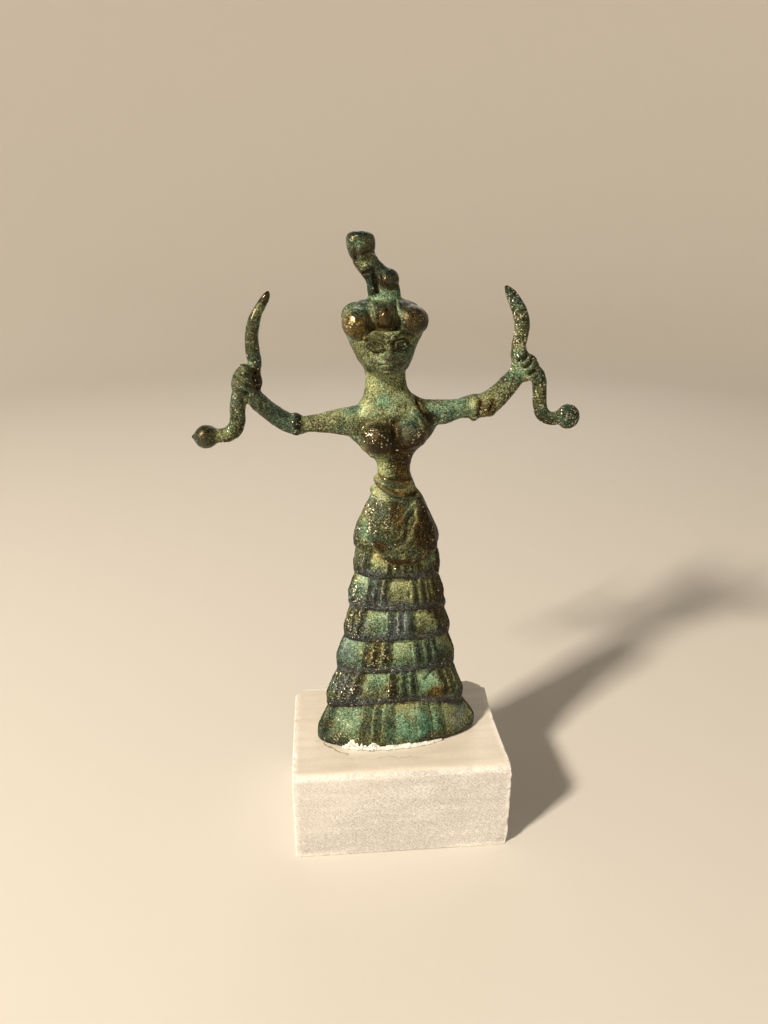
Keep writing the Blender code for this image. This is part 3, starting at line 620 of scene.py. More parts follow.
# What is cut or raised in the wax after the forms: each line is a path of places in X and Z on the
# front, its width and its depth, where a depth under nothing raises a ridge.
FRONT_LINES = [
    # The apron: two folds that fall from its upper right, the folds that hang in loops, and its burrs.
    ([(2.1, 59.5), (1.1, 58.4), (0.0, 57.1), (-1.1, 56.0)], 0.9, -0.65),
    ([(2.9, 60.0), (3.0, 58.6), (3.3, 56.6)], 0.9, -0.6),
    ([(2.9, 55.9), (2.0, 53.9), (1.0, 52.1), (-0.3, 51.1), (-1.8, 50.6), (-3.1, 51.5), (-4.2, 52.5),
      (-5.2, 54.2)], 1.0, -0.6),
    ([(-0.1, 56.7), (0.1, 54.9), (-0.5, 53.4), (-1.6, 52.8), (-2.9, 53.1), (-3.7, 54.5)], 0.8, -0.45),
    ([(-6.8, 59.9), (-6.6, 59.5)], 0.6, -0.45),
    ([(-6.6, 58.0), (-6.3, 57.5), (-5.9, 56.5)], 0.6, -0.5),
    ([(-6.3, 55.2), (-6.4, 54.2)], 0.5, -0.4),
    ([(-3.4, 56.4), (-3.2, 55.9)], 0.6, -0.45),
    # The cut across the right of the lowest flounce but one.
    ([(8.1, 18.4), (7.1, 17.6), (5.8, 16.3)], 0.4, 0.25),
    # The notch where the left sleeve ends, the bodice's edges and its folds, and the valley of the chest.
    ([(3.7, 81.6), (4.4, 79.7), (6.1, 78.0), (7.3, 77.1)], 0.75, 1.1),
    ([(-5.9, 81.7), (-7.1, 79.9), (-8.6, 77.3)], 0.9, -0.35),
    ([(-9.5, 75.4), (-8.7, 73.7), (-7.5, 71.9), (-5.7, 69.9)], 0.7, -0.4),
    ([(2.3, 79.6), (3.6, 77.9), (4.6, 76.2)], 0.5, -0.35),
    ([(2.6, 80.5), (4.1, 79.6), (5.3, 78.3)], 0.5, -0.3),
    ([(-1.4, 77.4), (-1.2, 74.5), (-1.2, 71.5)], 1.2, 0.35),
    # The grooves over and under the belt's roll.
    ([(-4.9, 66.0), (-3.8, 65.3), (-1.7, 64.9), (0.8, 64.7), (2.2, 64.6)], 0.6, 0.6),
    ([(-5.4, 63.7), (-4.1, 63.2), (-2.0, 62.5), (0.1, 61.9), (1.8, 61.5), (3.4, 61.4)], 0.65, 0.85),
    # The cap: the grooves beside and under the middle boss.
    ([(-6.3, 101.0), (-6.4, 99.0), (-6.2, 96.6)], 1.1, 0.8),
    ([(-1.2, 101.0), (-1.1, 99.0), (-1.1, 96.6)], 0.7, 0.8),
    ([(-5.9, 96.5), (-3.7, 96.4), (-1.5, 96.5)], 0.6, 0.5),
    # The cat: its brow and muzzle, the groove beside the muzzle, its collar, the chest's low line, the
    # gap behind the forelegs and the line round the haunch.
    ([(-9.9, 112.3), (-9.2, 111.9), (-8.6, 111.6)], 0.7, -0.3),
    ([(-6.9, 111.8), (-6.1, 112.1), (-5.4, 112.3)], 0.6, -0.25),
    ([(-7.9, 111.0), (-7.9, 110.3)], 0.9, -0.3),
    ([(-8.8, 110.6), (-8.7, 109.5), (-8.5, 108.4)], 0.45, 0.45),
    ([(-7.2, 109.7), (-6.2, 110.1), (-4.9, 110.1)], 0.45, 0.5),
    ([(-7.6, 109.0), (-6.7, 109.3), (-5.5, 109.5), (-4.6, 109.0)], 0.4, -0.25),
    ([(-6.9, 107.6), (-6.7, 107.1)], 0.8, -0.3),
    ([(-7.4, 106.0), (-6.3, 106.6), (-5.2, 107.1)], 0.45, 0.4),
    ([(-5.1, 105.9), (-4.7, 104.7), (-4.5, 102.9)], 0.6, 0.8),
    ([(-3.6, 105.8), (-3.4, 104.3), (-2.0, 103.3), (-0.7, 103.8)], 0.45, 0.35),
    # The band below the tip of the right snake's tail, and the gaps between the fingers.
    ([(-26.9, 101.9), (-25.4, 100.9)], 0.4, 0.3),
    ([(-32.0, 89.0), (-29.4, 87.2)], 0.5, 0.6),
    ([(-32.4, 87.8), (-29.5, 85.4)], 0.45, 0.55),
    ([(-32.9, 86.5), (-30.3, 84.1)], 0.45, 0.55),
    ([(-33.0, 84.8), (-31.2, 82.8)], 0.5, 0.45),
    ([(26.7, 91.0), (24.7, 88.8)], 0.45, 0.55),
    ([(27.7, 89.6), (25.7, 87.4)], 0.45, 0.55),
    ([(29.0, 88.4), (26.8, 86.0)], 0.45, 0.55),
    # The hollow of the right palm, and the folds at both elbows.
    ([(-28.8, 88.4), (-28.5, 87.0), (-28.0, 85.2)], 0.9, 0.9),
    ([(16.9, 80.8), (16.8, 79.9), (16.6, 78.2)], 0.6, 0.55),
    ([(19.4, 80.9), (19.1, 80.1), (18.6, 78.8)], 0.7, 0.5),
    ([(-20.1, 79.4), (-20.5, 76.5)], 0.45, 0.35),
]

# Each eye's lid, eyeball and pupil: how far it reaches aside and up, its line's width and its depth.
EYE_ASIDE = 2.45
EYE_HEIGHT = 93.3
EYE_LINES = [(2.0, 1.15, 0.45, 0.6), (1.35, 0.7, 0.5, -0.55), (0.6, 0.3, 0.35, 0.5)]
# One brow, in its reach from the face's middle and its height, and the two lines of the mouth.
BROW = [(0.8, 94.9), (2.4, 95.5), (4.4, 94.8)]
MOUTH_LINES = [([(-4.6, 89.85), (-3.1, 90.0), (-1.6, 89.85)], 0.4, 0.7),
               ([(-4.2, 88.7), (-3.1, 88.5), (-2.0, 88.7)], 0.5, 0.4)]

# How pale the patina is from each height up, over the skirt.
PALE_ABOVE = [(50.0, 0.22), (61.0, 0.44), (66.0, 0.34), (71.0, 0.26), (79.0, 0.46), (88.0, 0.41),
              (96.0, 0.26), (101.6, 0.38), (104.0, 0.17)]

# The places that the photo shows in another colour than their relief gives them, each a middle in X
# and Z, two reaches, and how much paler, browner, bluer, greyer, barer or glossier it is there.
PATINA_PLACES = [
    # The hem.
    (7.1, 5.0, 3.4, 4.5, {"pale": 0.08, "blue": 0.7}), (7.6, 1.3, 2.0, 2.0, {"brown": 0.7}),
    (-9.5, 5.0, 7.0, 5.0, {"pale": 0.0}), (-16.5, 4.5, 2.5, 5.0, {"pale": -0.12, "brown": 0.3}),
    (14.5, 5.0, 3.5, 4.5, {"pale": -0.06, "grey": 0.4}), (-12.3, 5.2, 1.4, 1.3, {"pale": 0.3, "bare": 1.0}),
    (-15.5, 2.5, 1.6, 2.5, {"bare": 0.5}), (-3.0, 3.5, 1.0, 3.0, {"blue": 0.4}),
    # The flounces from the foot up.
    (6.3, 15.4, 2.8, 2.6, {"pale": 0.12, "blue": 0.55}), (8.6, 12.6, 3.0, 1.4, {"brown": 0.9}),
    (-12.4, 14.8, 3.4, 4.2, {"grey": 0.8, "bare": 0.4}), (-2.6, 14.5, 1.6, 2.5, {"brown": 0.6, "bare": 0.3}),
    (0.5, 24.0, 2.6, 3.0, {"pale": 0.12, "blue": 0.25}),
    (-5.6, 23.6, 3.6, 3.6, {"pale": 0.06, "brown": 0.6, "bare": 0.45}),
    (-12.0, 23.5, 2.6, 3.4, {"grey": 0.5, "blue": 0.3}), (-0.2, 31.0, 3.2, 3.6, {"pale": 0.20, "grey": 0.9}),
    (-9.5, 31.0, 2.6, 3.6, {"grey": 0.5, "bare": 0.4}), (-5.2, 38.5, 2.8, 3.6, {"pale": 0.06, "grey": 0.8}),
    (-9.5, 38.0, 2.0, 3.0, {"grey": 0.3, "bare": 0.4}), (-7.8, 46.5, 1.6, 2.6, {"pale": 0.1, "grey": 0.6}),
    (-5.2, 47.0, 2.0, 1.8, {"pale": 0.2}),
    # The right side of the skirt and the hips: brown, and painted darker as the shade that lies on that side.
    (9.5, 38.0, 3.5, 9.0, {"pale": -0.20, "brown": 0.6}),
    (12.5, 24.0, 3.0, 7.0, {"pale": -0.12, "brown": 0.5}),
    (6.5, 53.5, 3.5, 5.0, {"pale": -0.15, "brown": 0.8}),
    # The apron's edges and folds.
    (-8.0, 55.0, 1.0, 4.6, {"pale": 0.40}), (-9.6, 55.0, 0.9, 4.0, {"grey": 0.6, "bare": 0.5}),
    (-6.6, 57.0, 0.8, 4.0, {"pale": 0.1, "bare": 1.0}), (-3.2, 56.5, 0.9, 1.6, {"bare": 0.8}),
    # The brown band along the lobe's lower rim is painted shade under its overhang.
    (-0.4, 47.6, 5.5, 1.0, {"pale": -0.15, "brown": 1.0}),
    (-4.8, 51.2, 1.6, 1.8, {"pale": -0.1, "brown": 0.8}),
    (0.5, 53.0, 5.0, 4.0, {"pale": -0.08, "brown": 0.35}),
    # Brown and darker at the apron's right, first on this line: brown patina and painted shade on that side.
    (4.5, 56.0, 2.0, 5.0, {"pale": -0.1, "brown": 0.6}), (-1.0, 58.5, 2.0, 2.8, {"brown": 0.8, "bare": 0.2}),
    (-4.2, 59.5, 2.0, 2.4, {"pale": 0.15, "grey": 0.4}), (-4.6, 62.0, 2.4, 1.4, {"pale": 0.35}),
    (2.8, 58.5, 0.8, 3.4, {"pale": 0.25}), (-0.5, 51.0, 3.0, 1.0, {"pale": 0.25}),
    (1.8, 53.5, 1.0, 1.8, {"pale": 0.25}),
    # The belt and the waist, pale to the left and brown to the right: painted light on the lit left and
    # painted shade on the right.
    (-4.4, 64.2, 1.8, 2.4, {"pale": 0.25, "gloss": 0.5}),
    (1.0, 63.3, 2.6, 2.0, {"pale": 0.16, "brown": 0.5, "gloss": 0.7}), (-4.0, 68.3, 1.5, 3.2, {"pale": 0.30}),
    (0.8, 68.5, 2.6, 4.0, {"pale": -0.15, "brown": 1.0}),
    # The chest: brown under the breasts and at the right of them, a painted shade, blue above them and pale
    # along the bodice's edges.
    (-4.2, 72.8, 3.6, 2.4, {"pale": -0.1, "brown": 1.0}), (2.8, 72.6, 3.6, 2.0, {"pale": -0.1, "brown": 1.0}),
    (-3.8, 82.0, 2.0, 1.6, {"blue": 0.5}), (-7.2, 79.8, 1.0, 2.6, {"pale": 0.35}),
    (4.8, 74.5, 1.8, 2.6, {"pale": -0.1, "brown": 0.8}), (-4.8, 75.6, 3.0, 2.2, {"brown": 0.7, "bare": 0.2}),
    (-1.7, 79.0, 5.0, 2.0, {"pale": 0.12}), (-7.6, 72.5, 0.9, 2.6, {"pale": 0.3}),
    (3.2, 76.0, 1.4, 1.0, {"pale": 0.15, "bare": 0.5}), (-7.0, 76.0, 1.2, 1.0, {"bare": 0.6}),
    # The neck, the cap's bosses and its rim, the cat's foot and the bright spot at the left elbow.
    # The left boss, second on this line, is brown, and its paler top, last on the next line, is a painted
    # highlight.
    (-5.2, 85.4, 2.2, 2.8, {"pale": 0.26}), (-9.0, 97.3, 3.0, 2.2, {"brown": 1.0, "pale": 0.14}),
    (-9.0, 98.4, 3.2, 3.0, {"gloss": 1.0}), (-9.2, 99.8, 2.2, 1.0, {"pale": 0.15}),
    (-3.7, 98.8, 2.3, 2.4, {"brown": 0.9, "gloss": 0.9}), (2.4, 98.4, 3.4, 2.8, {"brown": 0.8, "gloss": 0.8}),
    (-4.4, 95.7, 3.4, 0.5, {"pale": 0.3}), (-6.3, 98.8, 0.8, 2.6, {"pale": 0.75, "brown": -1.0}),
    (-1.1, 98.8, 0.6, 2.6, {"pale": 0.75, "brown": -1.0}), (-3.8, 101.6, 4.0, 0.5, {"pale": 0.3}),
    (-2.8, 103.0, 3.0, 1.2, {"pale": 0.1}), (15.2, 80.3, 0.9, 0.8, {"pale": 0.5}),
    (-7.6, 111.5, 3.6, 3.2, {"gloss": 1.0, "blue": 0.3, "pale": -0.03, "bare": -0.4}),
    (-7.0, 108.0, 2.4, 1.6, {"gloss": 0.8, "pale": 0.1, "bare": -0.3}),
    (-2.4, 105.0, 2.2, 2.2, {"gloss": 0.8, "brown": 0.2}),
    (-4.9, 75.0, 3.8, 3.6, {"gloss": 0.45, "pale": -0.1, "bare": 0.1}),
    (2.0, 75.2, 3.6, 3.2, {"pale": 0.07, "brown": 0.3, "gloss": 0.4}), (-3.1, 90.5, 3.0, 2.0, {"gloss": 0.5}),
    (-31.0, 86.0, 3.4, 4.0, {"gloss": 0.8, "pale": -0.02, "bare": -0.25}),
    (-28.2, 97.0, 2.2, 5.0, {"gloss": 1.0, "pale": -0.12, "bare": -0.45}),
    (-25.6, 102.6, 1.6, 1.4, {"gloss": 1.0, "pale": -0.15, "bare": -0.3}),
    (-27.0, 100.0, 1.2, 1.0, {"pale": 0.3}),
    (-39.0, 75.5, 2.6, 2.6, {"gloss": 0.9, "pale": -0.05, "bare": -0.35}),
    # The dark hollow of the right palm, second on this line, is painted shadow of the fingers; the fingers of
    # both fists, on the next line, are painted paler, partly as highlights.
    (-35.0, 76.0, 1.8, 1.6, {"pale": 0.2}), (-28.3, 86.6, 0.9, 2.4, {"pale": -0.6, "brown": 0.8}),
    (-30.9, 86.4, 2.0, 3.4, {"pale": 0.32, "brown": -0.5}), (26.6, 88.2, 3.4, 3.6, {"pale": 0.28}),
    (19.0, 80.0, 5.0, 2.5, {"pale": 0.10, "brown": 0.3}), (10.5, 78.5, 4.0, 2.2, {"pale": 0.1}),
    (0.5, 4.5, 4.0, 4.0, {"blue": 0.35}), (36.8, 76.3, 2.8, 2.8, {"bare": 0.2, "pale": 0.1}),
    (24.5, 92.0, 1.4, 4.0, {"bare": 0.3}), (23.8, 99.0, 2.0, 4.0, {"bare": 0.3}),
    (22.0, 83.0, 2.5, 2.5, {"bare": 0.2}), (17.5, 81.0, 4.0, 1.2, {"pale": 0.12}),
    (-12.0, 79.3, 5.0, 1.2, {"pale": 0.2}), (-18.0, 77.6, 2.5, 1.2, {"pale": 0.1, "bare": 0.4}),
    (9.5, 80.2, 4.0, 1.0, {"pale": 0.12}),
    (-25.5, 80.5, 4.5, 3.5, {"pale": -0.1, "bare": -0.4, "gloss": 0.3}),
]


def near_line(points, facing, path, width):
    """Which points on the front lie by a path in X and Z, and how near, up to 1 on the path."""
    samples = np.array([smooth(path, t) for t in np.linspace(0.0, 1.0, 6 * len(path))])
    low = samples.min(axis=0) - width
    high = samples.max(axis=0) + width
    flat = points[:, [0, 2]]
    near = np.where(np.all((flat > low) & (flat < high), axis=1) & (facing[:, 1] < -0.05))[0]
    nearest = np.full(len(near), 1e9)
    for start, end in zip(samples, samples[1:]):
        run = end - start
        share = np.clip(((flat[near] - start) @ run) / max(run @ run, 1e-12), 0.0, 1.0)
        away = np.linalg.norm(flat[near] - start - share[:, None] * run, axis=1)
        nearest = np.minimum(nearest, away)
    frontal = np.clip(-2.5 * facing[near, 1], 0.0, 1.0)
    return near, frontal * 0.5 * (1.0 + np.cos(math.pi * np.clip(nearest / width, 0.0, 1.0)))


def engrave(points, facing, path, width, depth):
    """Sink, or with a depth under nothing raise, the front of the skin along a path in X and Z."""
    near, share = near_line(points, facing, path, width)
    points[near] -= facing[near] * (depth * share)[:, None]


def eye_rim(centre_x, centre_z, half_width, half_height):
    """A path in X and Z round an almond-shaped eye."""
    turns = np.linspace(0.0, 2.0 * math.pi, 13)
    rises = [math.copysign(abs(math.sin(turn)) ** 1.2, math.sin(turn)) for turn in turns]
    return [(centre_x + half_width * math.cos(turn), centre_z + half_height * rise)
            for turn, rise in zip(turns, rises)]


def in_oval(points, x, z, wide, high, power):
    """How much each point lies in an oval place on the front, from 1 in its middle to 0 well outside."""
    return np.exp(-(((points[:, 0] - x) / wide) ** 2 + ((points[:, 2] - z) / high) ** 2) ** power)


def neighbours_mean(values, pairs, counts):
    """The mean of each point's neighbours, from the mesh's edges."""
    total = np.zeros_like(values)
    for column in range(values.shape[1]):
        total[:, column] = (np.bincount(pairs[:, 0], values[pairs[:, 1], column], len(values))
                            + np.bincount(pairs[:, 1], values[pairs[:, 0], column], len(values)))
    return total / counts[:, None]


def edges_of(mesh):
    """A mesh's edges as pairs of points, and how many each point has."""
    flat = np.empty(2 * len(mesh.edges), dtype=np.int32)
    mesh.edges.foreach_get("vertices", flat)
    pairs = flat.reshape(-1, 2)
    return pairs, np.maximum(np.bincount(pairs.reshape(-1), minlength=len(mesh.vertices)), 1)


def build_figure_mesh():
    """The casting's skin: the forms run together, softened, engraved, pitted and put on the block."""
    bm = bmesh.new()
    for add_form in (add_skirt, add_hips, add_torso, add_head, add_cat, add_arms, add_hands, add_snakes):
        add_form(bm)
    mesh = evenly_meshed(bm, "bronze_goddess", SKIN_CELL)
    points = points_of(mesh)
    pairs, counts = edges_of(mesh)
    for _ in range(SOFTENING):
        points = 0.5 * points + 0.5 * neighbours_mean(points, pairs, counts)
    chest = in_oval(points, *CHEST, 2)[:, None]
    for _ in range(CHEST_SOFTENING):
        points += 0.6 * chest * (neighbours_mean(points, pairs, counts) - points)
    put_points(mesh, points)
    facing = normals_of(mesh)
    # The small ring on the chest, and the other lines of the front.
    ring = [(-2.1 + 0.75 * math.cos(turn), 77.8 + 0.8 * math.sin(turn))
            for turn in np.linspace(0.0, 2.0 * math.pi, 9)]
    engrave(points, facing, ring, 0.35, 0.35)
    for path, width, depth in FRONT_LINES:
        engrave(points, facing, path, width, depth)
    for hand in (-1.0, 1.0):
        for aside, up, width, depth in EYE_LINES:
            rim = eye_rim(FACE_MIDDLE + EYE_ASIDE * hand, EYE_HEIGHT, aside, up)
            engrave(points, facing, rim, width, depth)
        engrave(points, facing, [(FACE_MIDDLE + reach * hand, height) for reach, height in BROW], 0.65, -0.6)
    for path, width, depth in MOUTH_LINES:
        engrave(points, facing, path, width, depth)
    lumps = sum(depth * grain(points, width, seed) for seed, (depth, width) in enumerate(SKIN_LUMPS, 1))
    lumps *= np.clip(points[:, 2], 0.0, 1.0) * (1.0 - 0.75 * in_oval(points, *FACE, 2))
    points -= facing * lumps[:, None]
    put_points(mesh, points)
    ratio = min(1.0, SKIN_TRIANGLES / (2.0 * len(mesh.polygons)))
    made = modified(mesh, "bronze_goddess", "DECIMATE", ratio=ratio)
    paint_patina_and_shade(made)
    made.transform(FIGURE_SEAT)
    return made


def hollows_of(points, facing, pairs, counts):
    """How deep each point lies in the form's broad hollows, and in its fine creases."""
    soft = points.copy()
    hollow = np.zeros(len(points))
    for step in range(1, 25):
        soft = neighbours_mean(soft, pairs, counts)
        if step == 3:
            crease_shade = np.clip(np.einsum("ij,ij->i", soft - points, facing) / 0.10, -1.0, 1.0)
        if step in (8, 24):
            hollow += 0.5 * np.einsum("ij,ij->i", soft - points, facing) / (0.06 * step ** 0.75)
    return hollow, crease_shade


def paint_flounces(points, pale, brown, lip):
    """Paint the flounces: a plain panel pales upwards, a rib is dark and the grooves by it are pale."""
    for i, (edge, above) in enumerate(zip(FLOUNCES, FLOUNCES[1:])):
        middle = 0.5 * (edge[1] - edge[0])
        turns = np.arctan2((points[:, 0] - middle) / (0.5 * (edge[0] + edge[1])), -points[:, 1] / edge[2])
        for n in np.where((points[:, 2] < above[4] + 6.0) & (points[:, 2] > min(edge[3:6]) - 0.5))[0]:
            low = level_at(edge, turns[n])
            high = level_at(above, turns[n])
            share = (points[n, 2] - low) / (high - low)
            if not -0.08 <= share < 1.0:
                continue
            ribbed = panel_at(edge, turns[n])[0]
            rib = min(1.0, ribs_at(edge, turns[n]))
            rising = ease(0.15, 0.9, share)
            groove = (1.0 - rib) * ease(0.1, 0.4, share)
            pale[n] = 0.24 + 0.48 * rising if not ribbed else 0.10 + 0.10 * rising + 0.75 * groove
            if i == 0:
                pale[n] = 0.42 + 0.14 * rising - 0.12 * rib + 0.06 * groove
            lip[n] = (0.0 if i == 0 else 1.0) * (1.0 - ease(0.08, 0.40 if i > 3 else 0.28, share))
            pale[n] += 0.13 * lip[n]
            # Just under the lip above, the flounce is browned: a painted shade.
            brown[n] = max(brown[n], 0.75 * ease(0.93, 1.0, share))


def paint_patina_and_shade(mesh):
    """Store on each point the patina's shares of colour, gloss and bare metal, with painted shade and light
    among them, and the form's hollows.
    """
    points = points_of(mesh)
    facing = normals_of(mesh)
    pairs, counts = edges_of(mesh)
    pale = np.full(len(points), 0.42)
    lip = np.zeros(len(points))
    # Faces turned down are browned: a painted shade.
    brown = 0.55 * np.clip(-facing[:, 2] - 0.15, 0.0, 1.0)
    paint_flounces(points, pale, brown, lip)
    # Over the skirt the patina goes by height, fades along the arms and follows the lines.
    for above_z, value in PALE_ABOVE:
        pale[points[:, 2] > above_z] = value
    side = np.abs(points[:, 0] + 1.5)
    arms = (points[:, 2] > 72.0) & (side > 8.5)
    pale[arms] = 0.48 - 0.006 * (side[arms] - 8.5)
    for path, width, depth in FRONT_LINES:
        near, share = near_line(points, facing, path, 1.2 * width)
        pale[near] += (0.3 if depth < 0.0 else -0.3) * share
        brown[near] += (0.0 if depth < 0.0 else 0.8) * share
    shares = {"pale": pale, "brown": brown, "grey": 0.8 * lip}
    shares.update({name: np.zeros(len(points)) for name in ("blue", "bare", "gloss")})
    shares["bare"][arms] = 0.25
    for x, z, wide, high, effects in PATINA_PLACES:
        near = in_oval(points, x, z, wide, high, 1.5)
        near[points[:, 1] > 1.5] = 0.0
        for name, amount in effects.items():
            shares[name] += amount * near
    for _ in range(3):
        shares["pale"] = neighbours_mean(shares["pale"][:, None], pairs, counts)[:, 0]
    shares["hollow"], shares["crease_shade"] = hollows_of(points, facing, pairs, counts)
    store(mesh, {name: np.clip(values, -1.0, 1.0) for name, values in shares.items()})


# Patinated cast bronze: a crust of green copper salts, chalky and pale where it lies thick, thin and near
# black on the ribs, blue-grey on the flounces' lips. Its creases are painted near black, and its undersides
# and the tops under each lip brown, which is painted shade.
# The mould's sand left a gritty skin, and the grains that are rubbed bare glitter like brass.
GRAIN_SIZE = 0.00025
SAND_SIZE = 0.00028
FLECK_SIZE = 0.00085
BLOTCH_SIZE = 0.0028
REGION_SIZE = 0.008
# Each crust's colours, from where it lies thin to where it lies thick.
CRUSTS = {"olive": ("#12120a", "#2f321f", "#6a7150", "#9ba273", "#ced0a0"),
          "cool": ("#0d1413", "#24322b", "#506952", "#85a07f", "#bccaa4"),
          "turquoise": ("#0f211b", "#285142", "#548e74", "#84b596", "#bcd6b6"),
          "grey": ("#121517", "#2c3235", "#555e62", "#879096", "#c6cac6"),
          "earth": ("#0c0802", "#2a1d06", "#574213", "#866e2e", "#b8a45a")}


def build_bronze():
    """The casting's finish, from its grit of about a quarter of a millimetre up to its blotches."""
    bronze, shader, place = new_finish("Patinated cast bronze")
    patina_and_shade = {name: add(bronze, "Attribute", {}, attribute_name=name, out="Fac")
            for name in ("hollow", "crease_shade", "pale", "brown", "blue", "grey", "bare", "gloss")}
    sand, flecks, blotch, region = (
        add(bronze, "TexNoise", {0: place, "Scale": 1.0 / size, "Detail": detail, "Roughness": roughness})
        for size, detail, roughness in ((SAND_SIZE, 2.0, 0.7), (FLECK_SIZE, 4.0, 0.65),
                                        (BLOTCH_SIZE, 4.0, 0.6), (REGION_SIZE, 3.0, 0.5)))
    grains = add(bronze, "TexVoronoi", {0: place, "Scale": 1.0 / GRAIN_SIZE}, out="Color")
    chance = add(bronze, "SeparateColor", {0: grains})
    # How thick the crust lies, from 0 to 1: painted, and thicker in hollows and where the grit holds it.
    thickness = -1.215
    for value, weight in ((patina_and_shade["pale"], 0.80), (patina_and_shade["hollow"], 0.38), (flecks, 0.42), (blotch, 0.42),
                          (sand, 1.55), (chance, 0.22)):
        thickness = add(bronze, "Math", {0: value, 1: weight, 2: thickness}, operation="MULTIPLY_ADD")
    crusts = {}
    for name, colours in CRUSTS.items():
        crusts[name] = add(bronze, "ValToRGB", {0: thickness})
        elements = crusts[name].node.color_ramp.elements
        while len(elements) < len(colours):
            elements.new(0.5)
        for step, (element, colour) in enumerate(zip(elements, colours)):
            element.position = step / (len(colours) - 1)
            element.color = linear(colour)
    patch = add(bronze, "MapRange", {0: region, 1: 0.42, 2: 0.60}, interpolation_type="SMOOTHSTEP")
    crust = add(bronze, "Mix", {0: patch, 6: crusts["olive"], 7: crusts["cool"]}, data_type="RGBA", out=2)
    # The brown share brings in the earth crust; part of that share is painted shade on undersides, under lips
    # and on shaded sides.
    for name, attribute, cloud in (("turquoise", "blue", blotch), ("grey", "grey", blotch),
                                   ("earth", "brown", flecks)):
        clouded = add(bronze, "Math", {0: cloud, 1: 1.6, 2: patina_and_shade[attribute]}, operation="MULTIPLY_ADD")
        share = add(bronze, "MapRange", {0: clouded, 1: 0.9, 2: 1.7, 4: 0.9})
        crust = add(bronze, "Mix", {0: share, 6: crust, 7: crusts[name]}, data_type="RGBA", out=2)
    # The creases are darkened towards near black: a painted shade.
    deep = add(bronze, "MapRange", {0: patina_and_shade["crease_shade"], 1: 0.18, 2: 0.65, 4: 0.85})
    crust = add(bronze, "Mix", {0: deep, 6: crust, 7: linear("#1a140b")}, data_type="RGBA", out=2)
    # About a fifth of the grains glint, and those that are rubbed through are bare metal.
    shiny = add(bronze, "MapRange", {0: chance, 1: 0.80, 2: 0.84})
    likely = add(bronze, "Math", {0: patina_and_shade["bare"], 1: 0.24, 2: chance}, operation="MULTIPLY_ADD")
    likely = add(bronze, "Math", {0: flecks, 1: 0.35, 2: likely}, operation="MULTIPLY_ADD")
    bare = add(bronze, "MapRange", {0: likely, 1: 1.175, 2: 1.195})
    colour = add(bronze, "Mix", {0: bare, 6: crust, 7: linear("#efe8cc")}, data_type="RGBA", out=2)
    rough = add(bronze, "MapRange", {0: thickness, 1: 0.1, 2: 0.7, 3: 0.45, 4: 0.8})
    rough = add(bronze, "Mix", {0: patina_and_shade["gloss"], 2: rough, 3: 0.19})
    rough = add(bronze, "Mix", {0: shiny, 2: rough, 3: 0.24})
    height = add(bronze, "Math", {0: flecks, 1: 0.6, 2: sand}, operation="MULTIPLY_ADD")
    relief = add(bronze, "MapRange", {0: patina_and_shade["gloss"], 3: 0.9, 4: 0.18})
    bump = add(bronze, "Bump", {"Strength": relief, "Distance": 0.00018, "Height": height})
    scatter = add(bronze, "Math", {0: shiny, 1: relief}, operation="MULTIPLY")
    aside = add(bronze, "VectorMath", {0: grains, 1: (0.5, 0.5, 0.5)}, operation="SUBTRACT")
    aside = add(bronze, "VectorMath", {0: aside, "Scale": scatter}, operation="SCALE")
    glint = add(bronze, "VectorMath", {0: bump, 1: aside}, operation="ADD")
    glint = add(bronze, "VectorMath", {0: glint}, operation="NORMALIZE")
    sheen = add(bronze, "Math", {0: shiny, 1: patina_and_shade["gloss"]}, operation="MAXIMUM")
    sheen = add(bronze, "MapRange", {0: sheen, 3: 0.16, 4: 0.75})
    feed(bronze, shader, {"Base Color": colour, "Metallic": bare, "Roughness": rough, "Normal": glint,
                          "Specular IOR Level": sheen, "Specular Tint": linear("#ecd4a4")})
    return bronze


finished("bronze_goddess", build_figure_mesh(), build_bronze(), "goddess_figurine")

# The glue: white glue that was squeezed out along the front of the hem and dried. It climbs the hem
# at the left, and has shrunk, cracked and lifted from the stone.
GLUE_FROM = math.radians(-46.0)
GLUE_TO = math.radians(31.0)
GLUE_WIDTH = 1.0
GLUE_THICKNESS = 0.3
GLUE_UNDER_HEM = 0.6
# How high the glue stands on the hem's wall along its length, from left to right.
GLUE_CLIMB = [0.9, 2.3, 2.1, 1.3, 1.2, 0.5, 0.3, 0.4, 0.5, 0.2, 0.3, 0.2, 0.1]


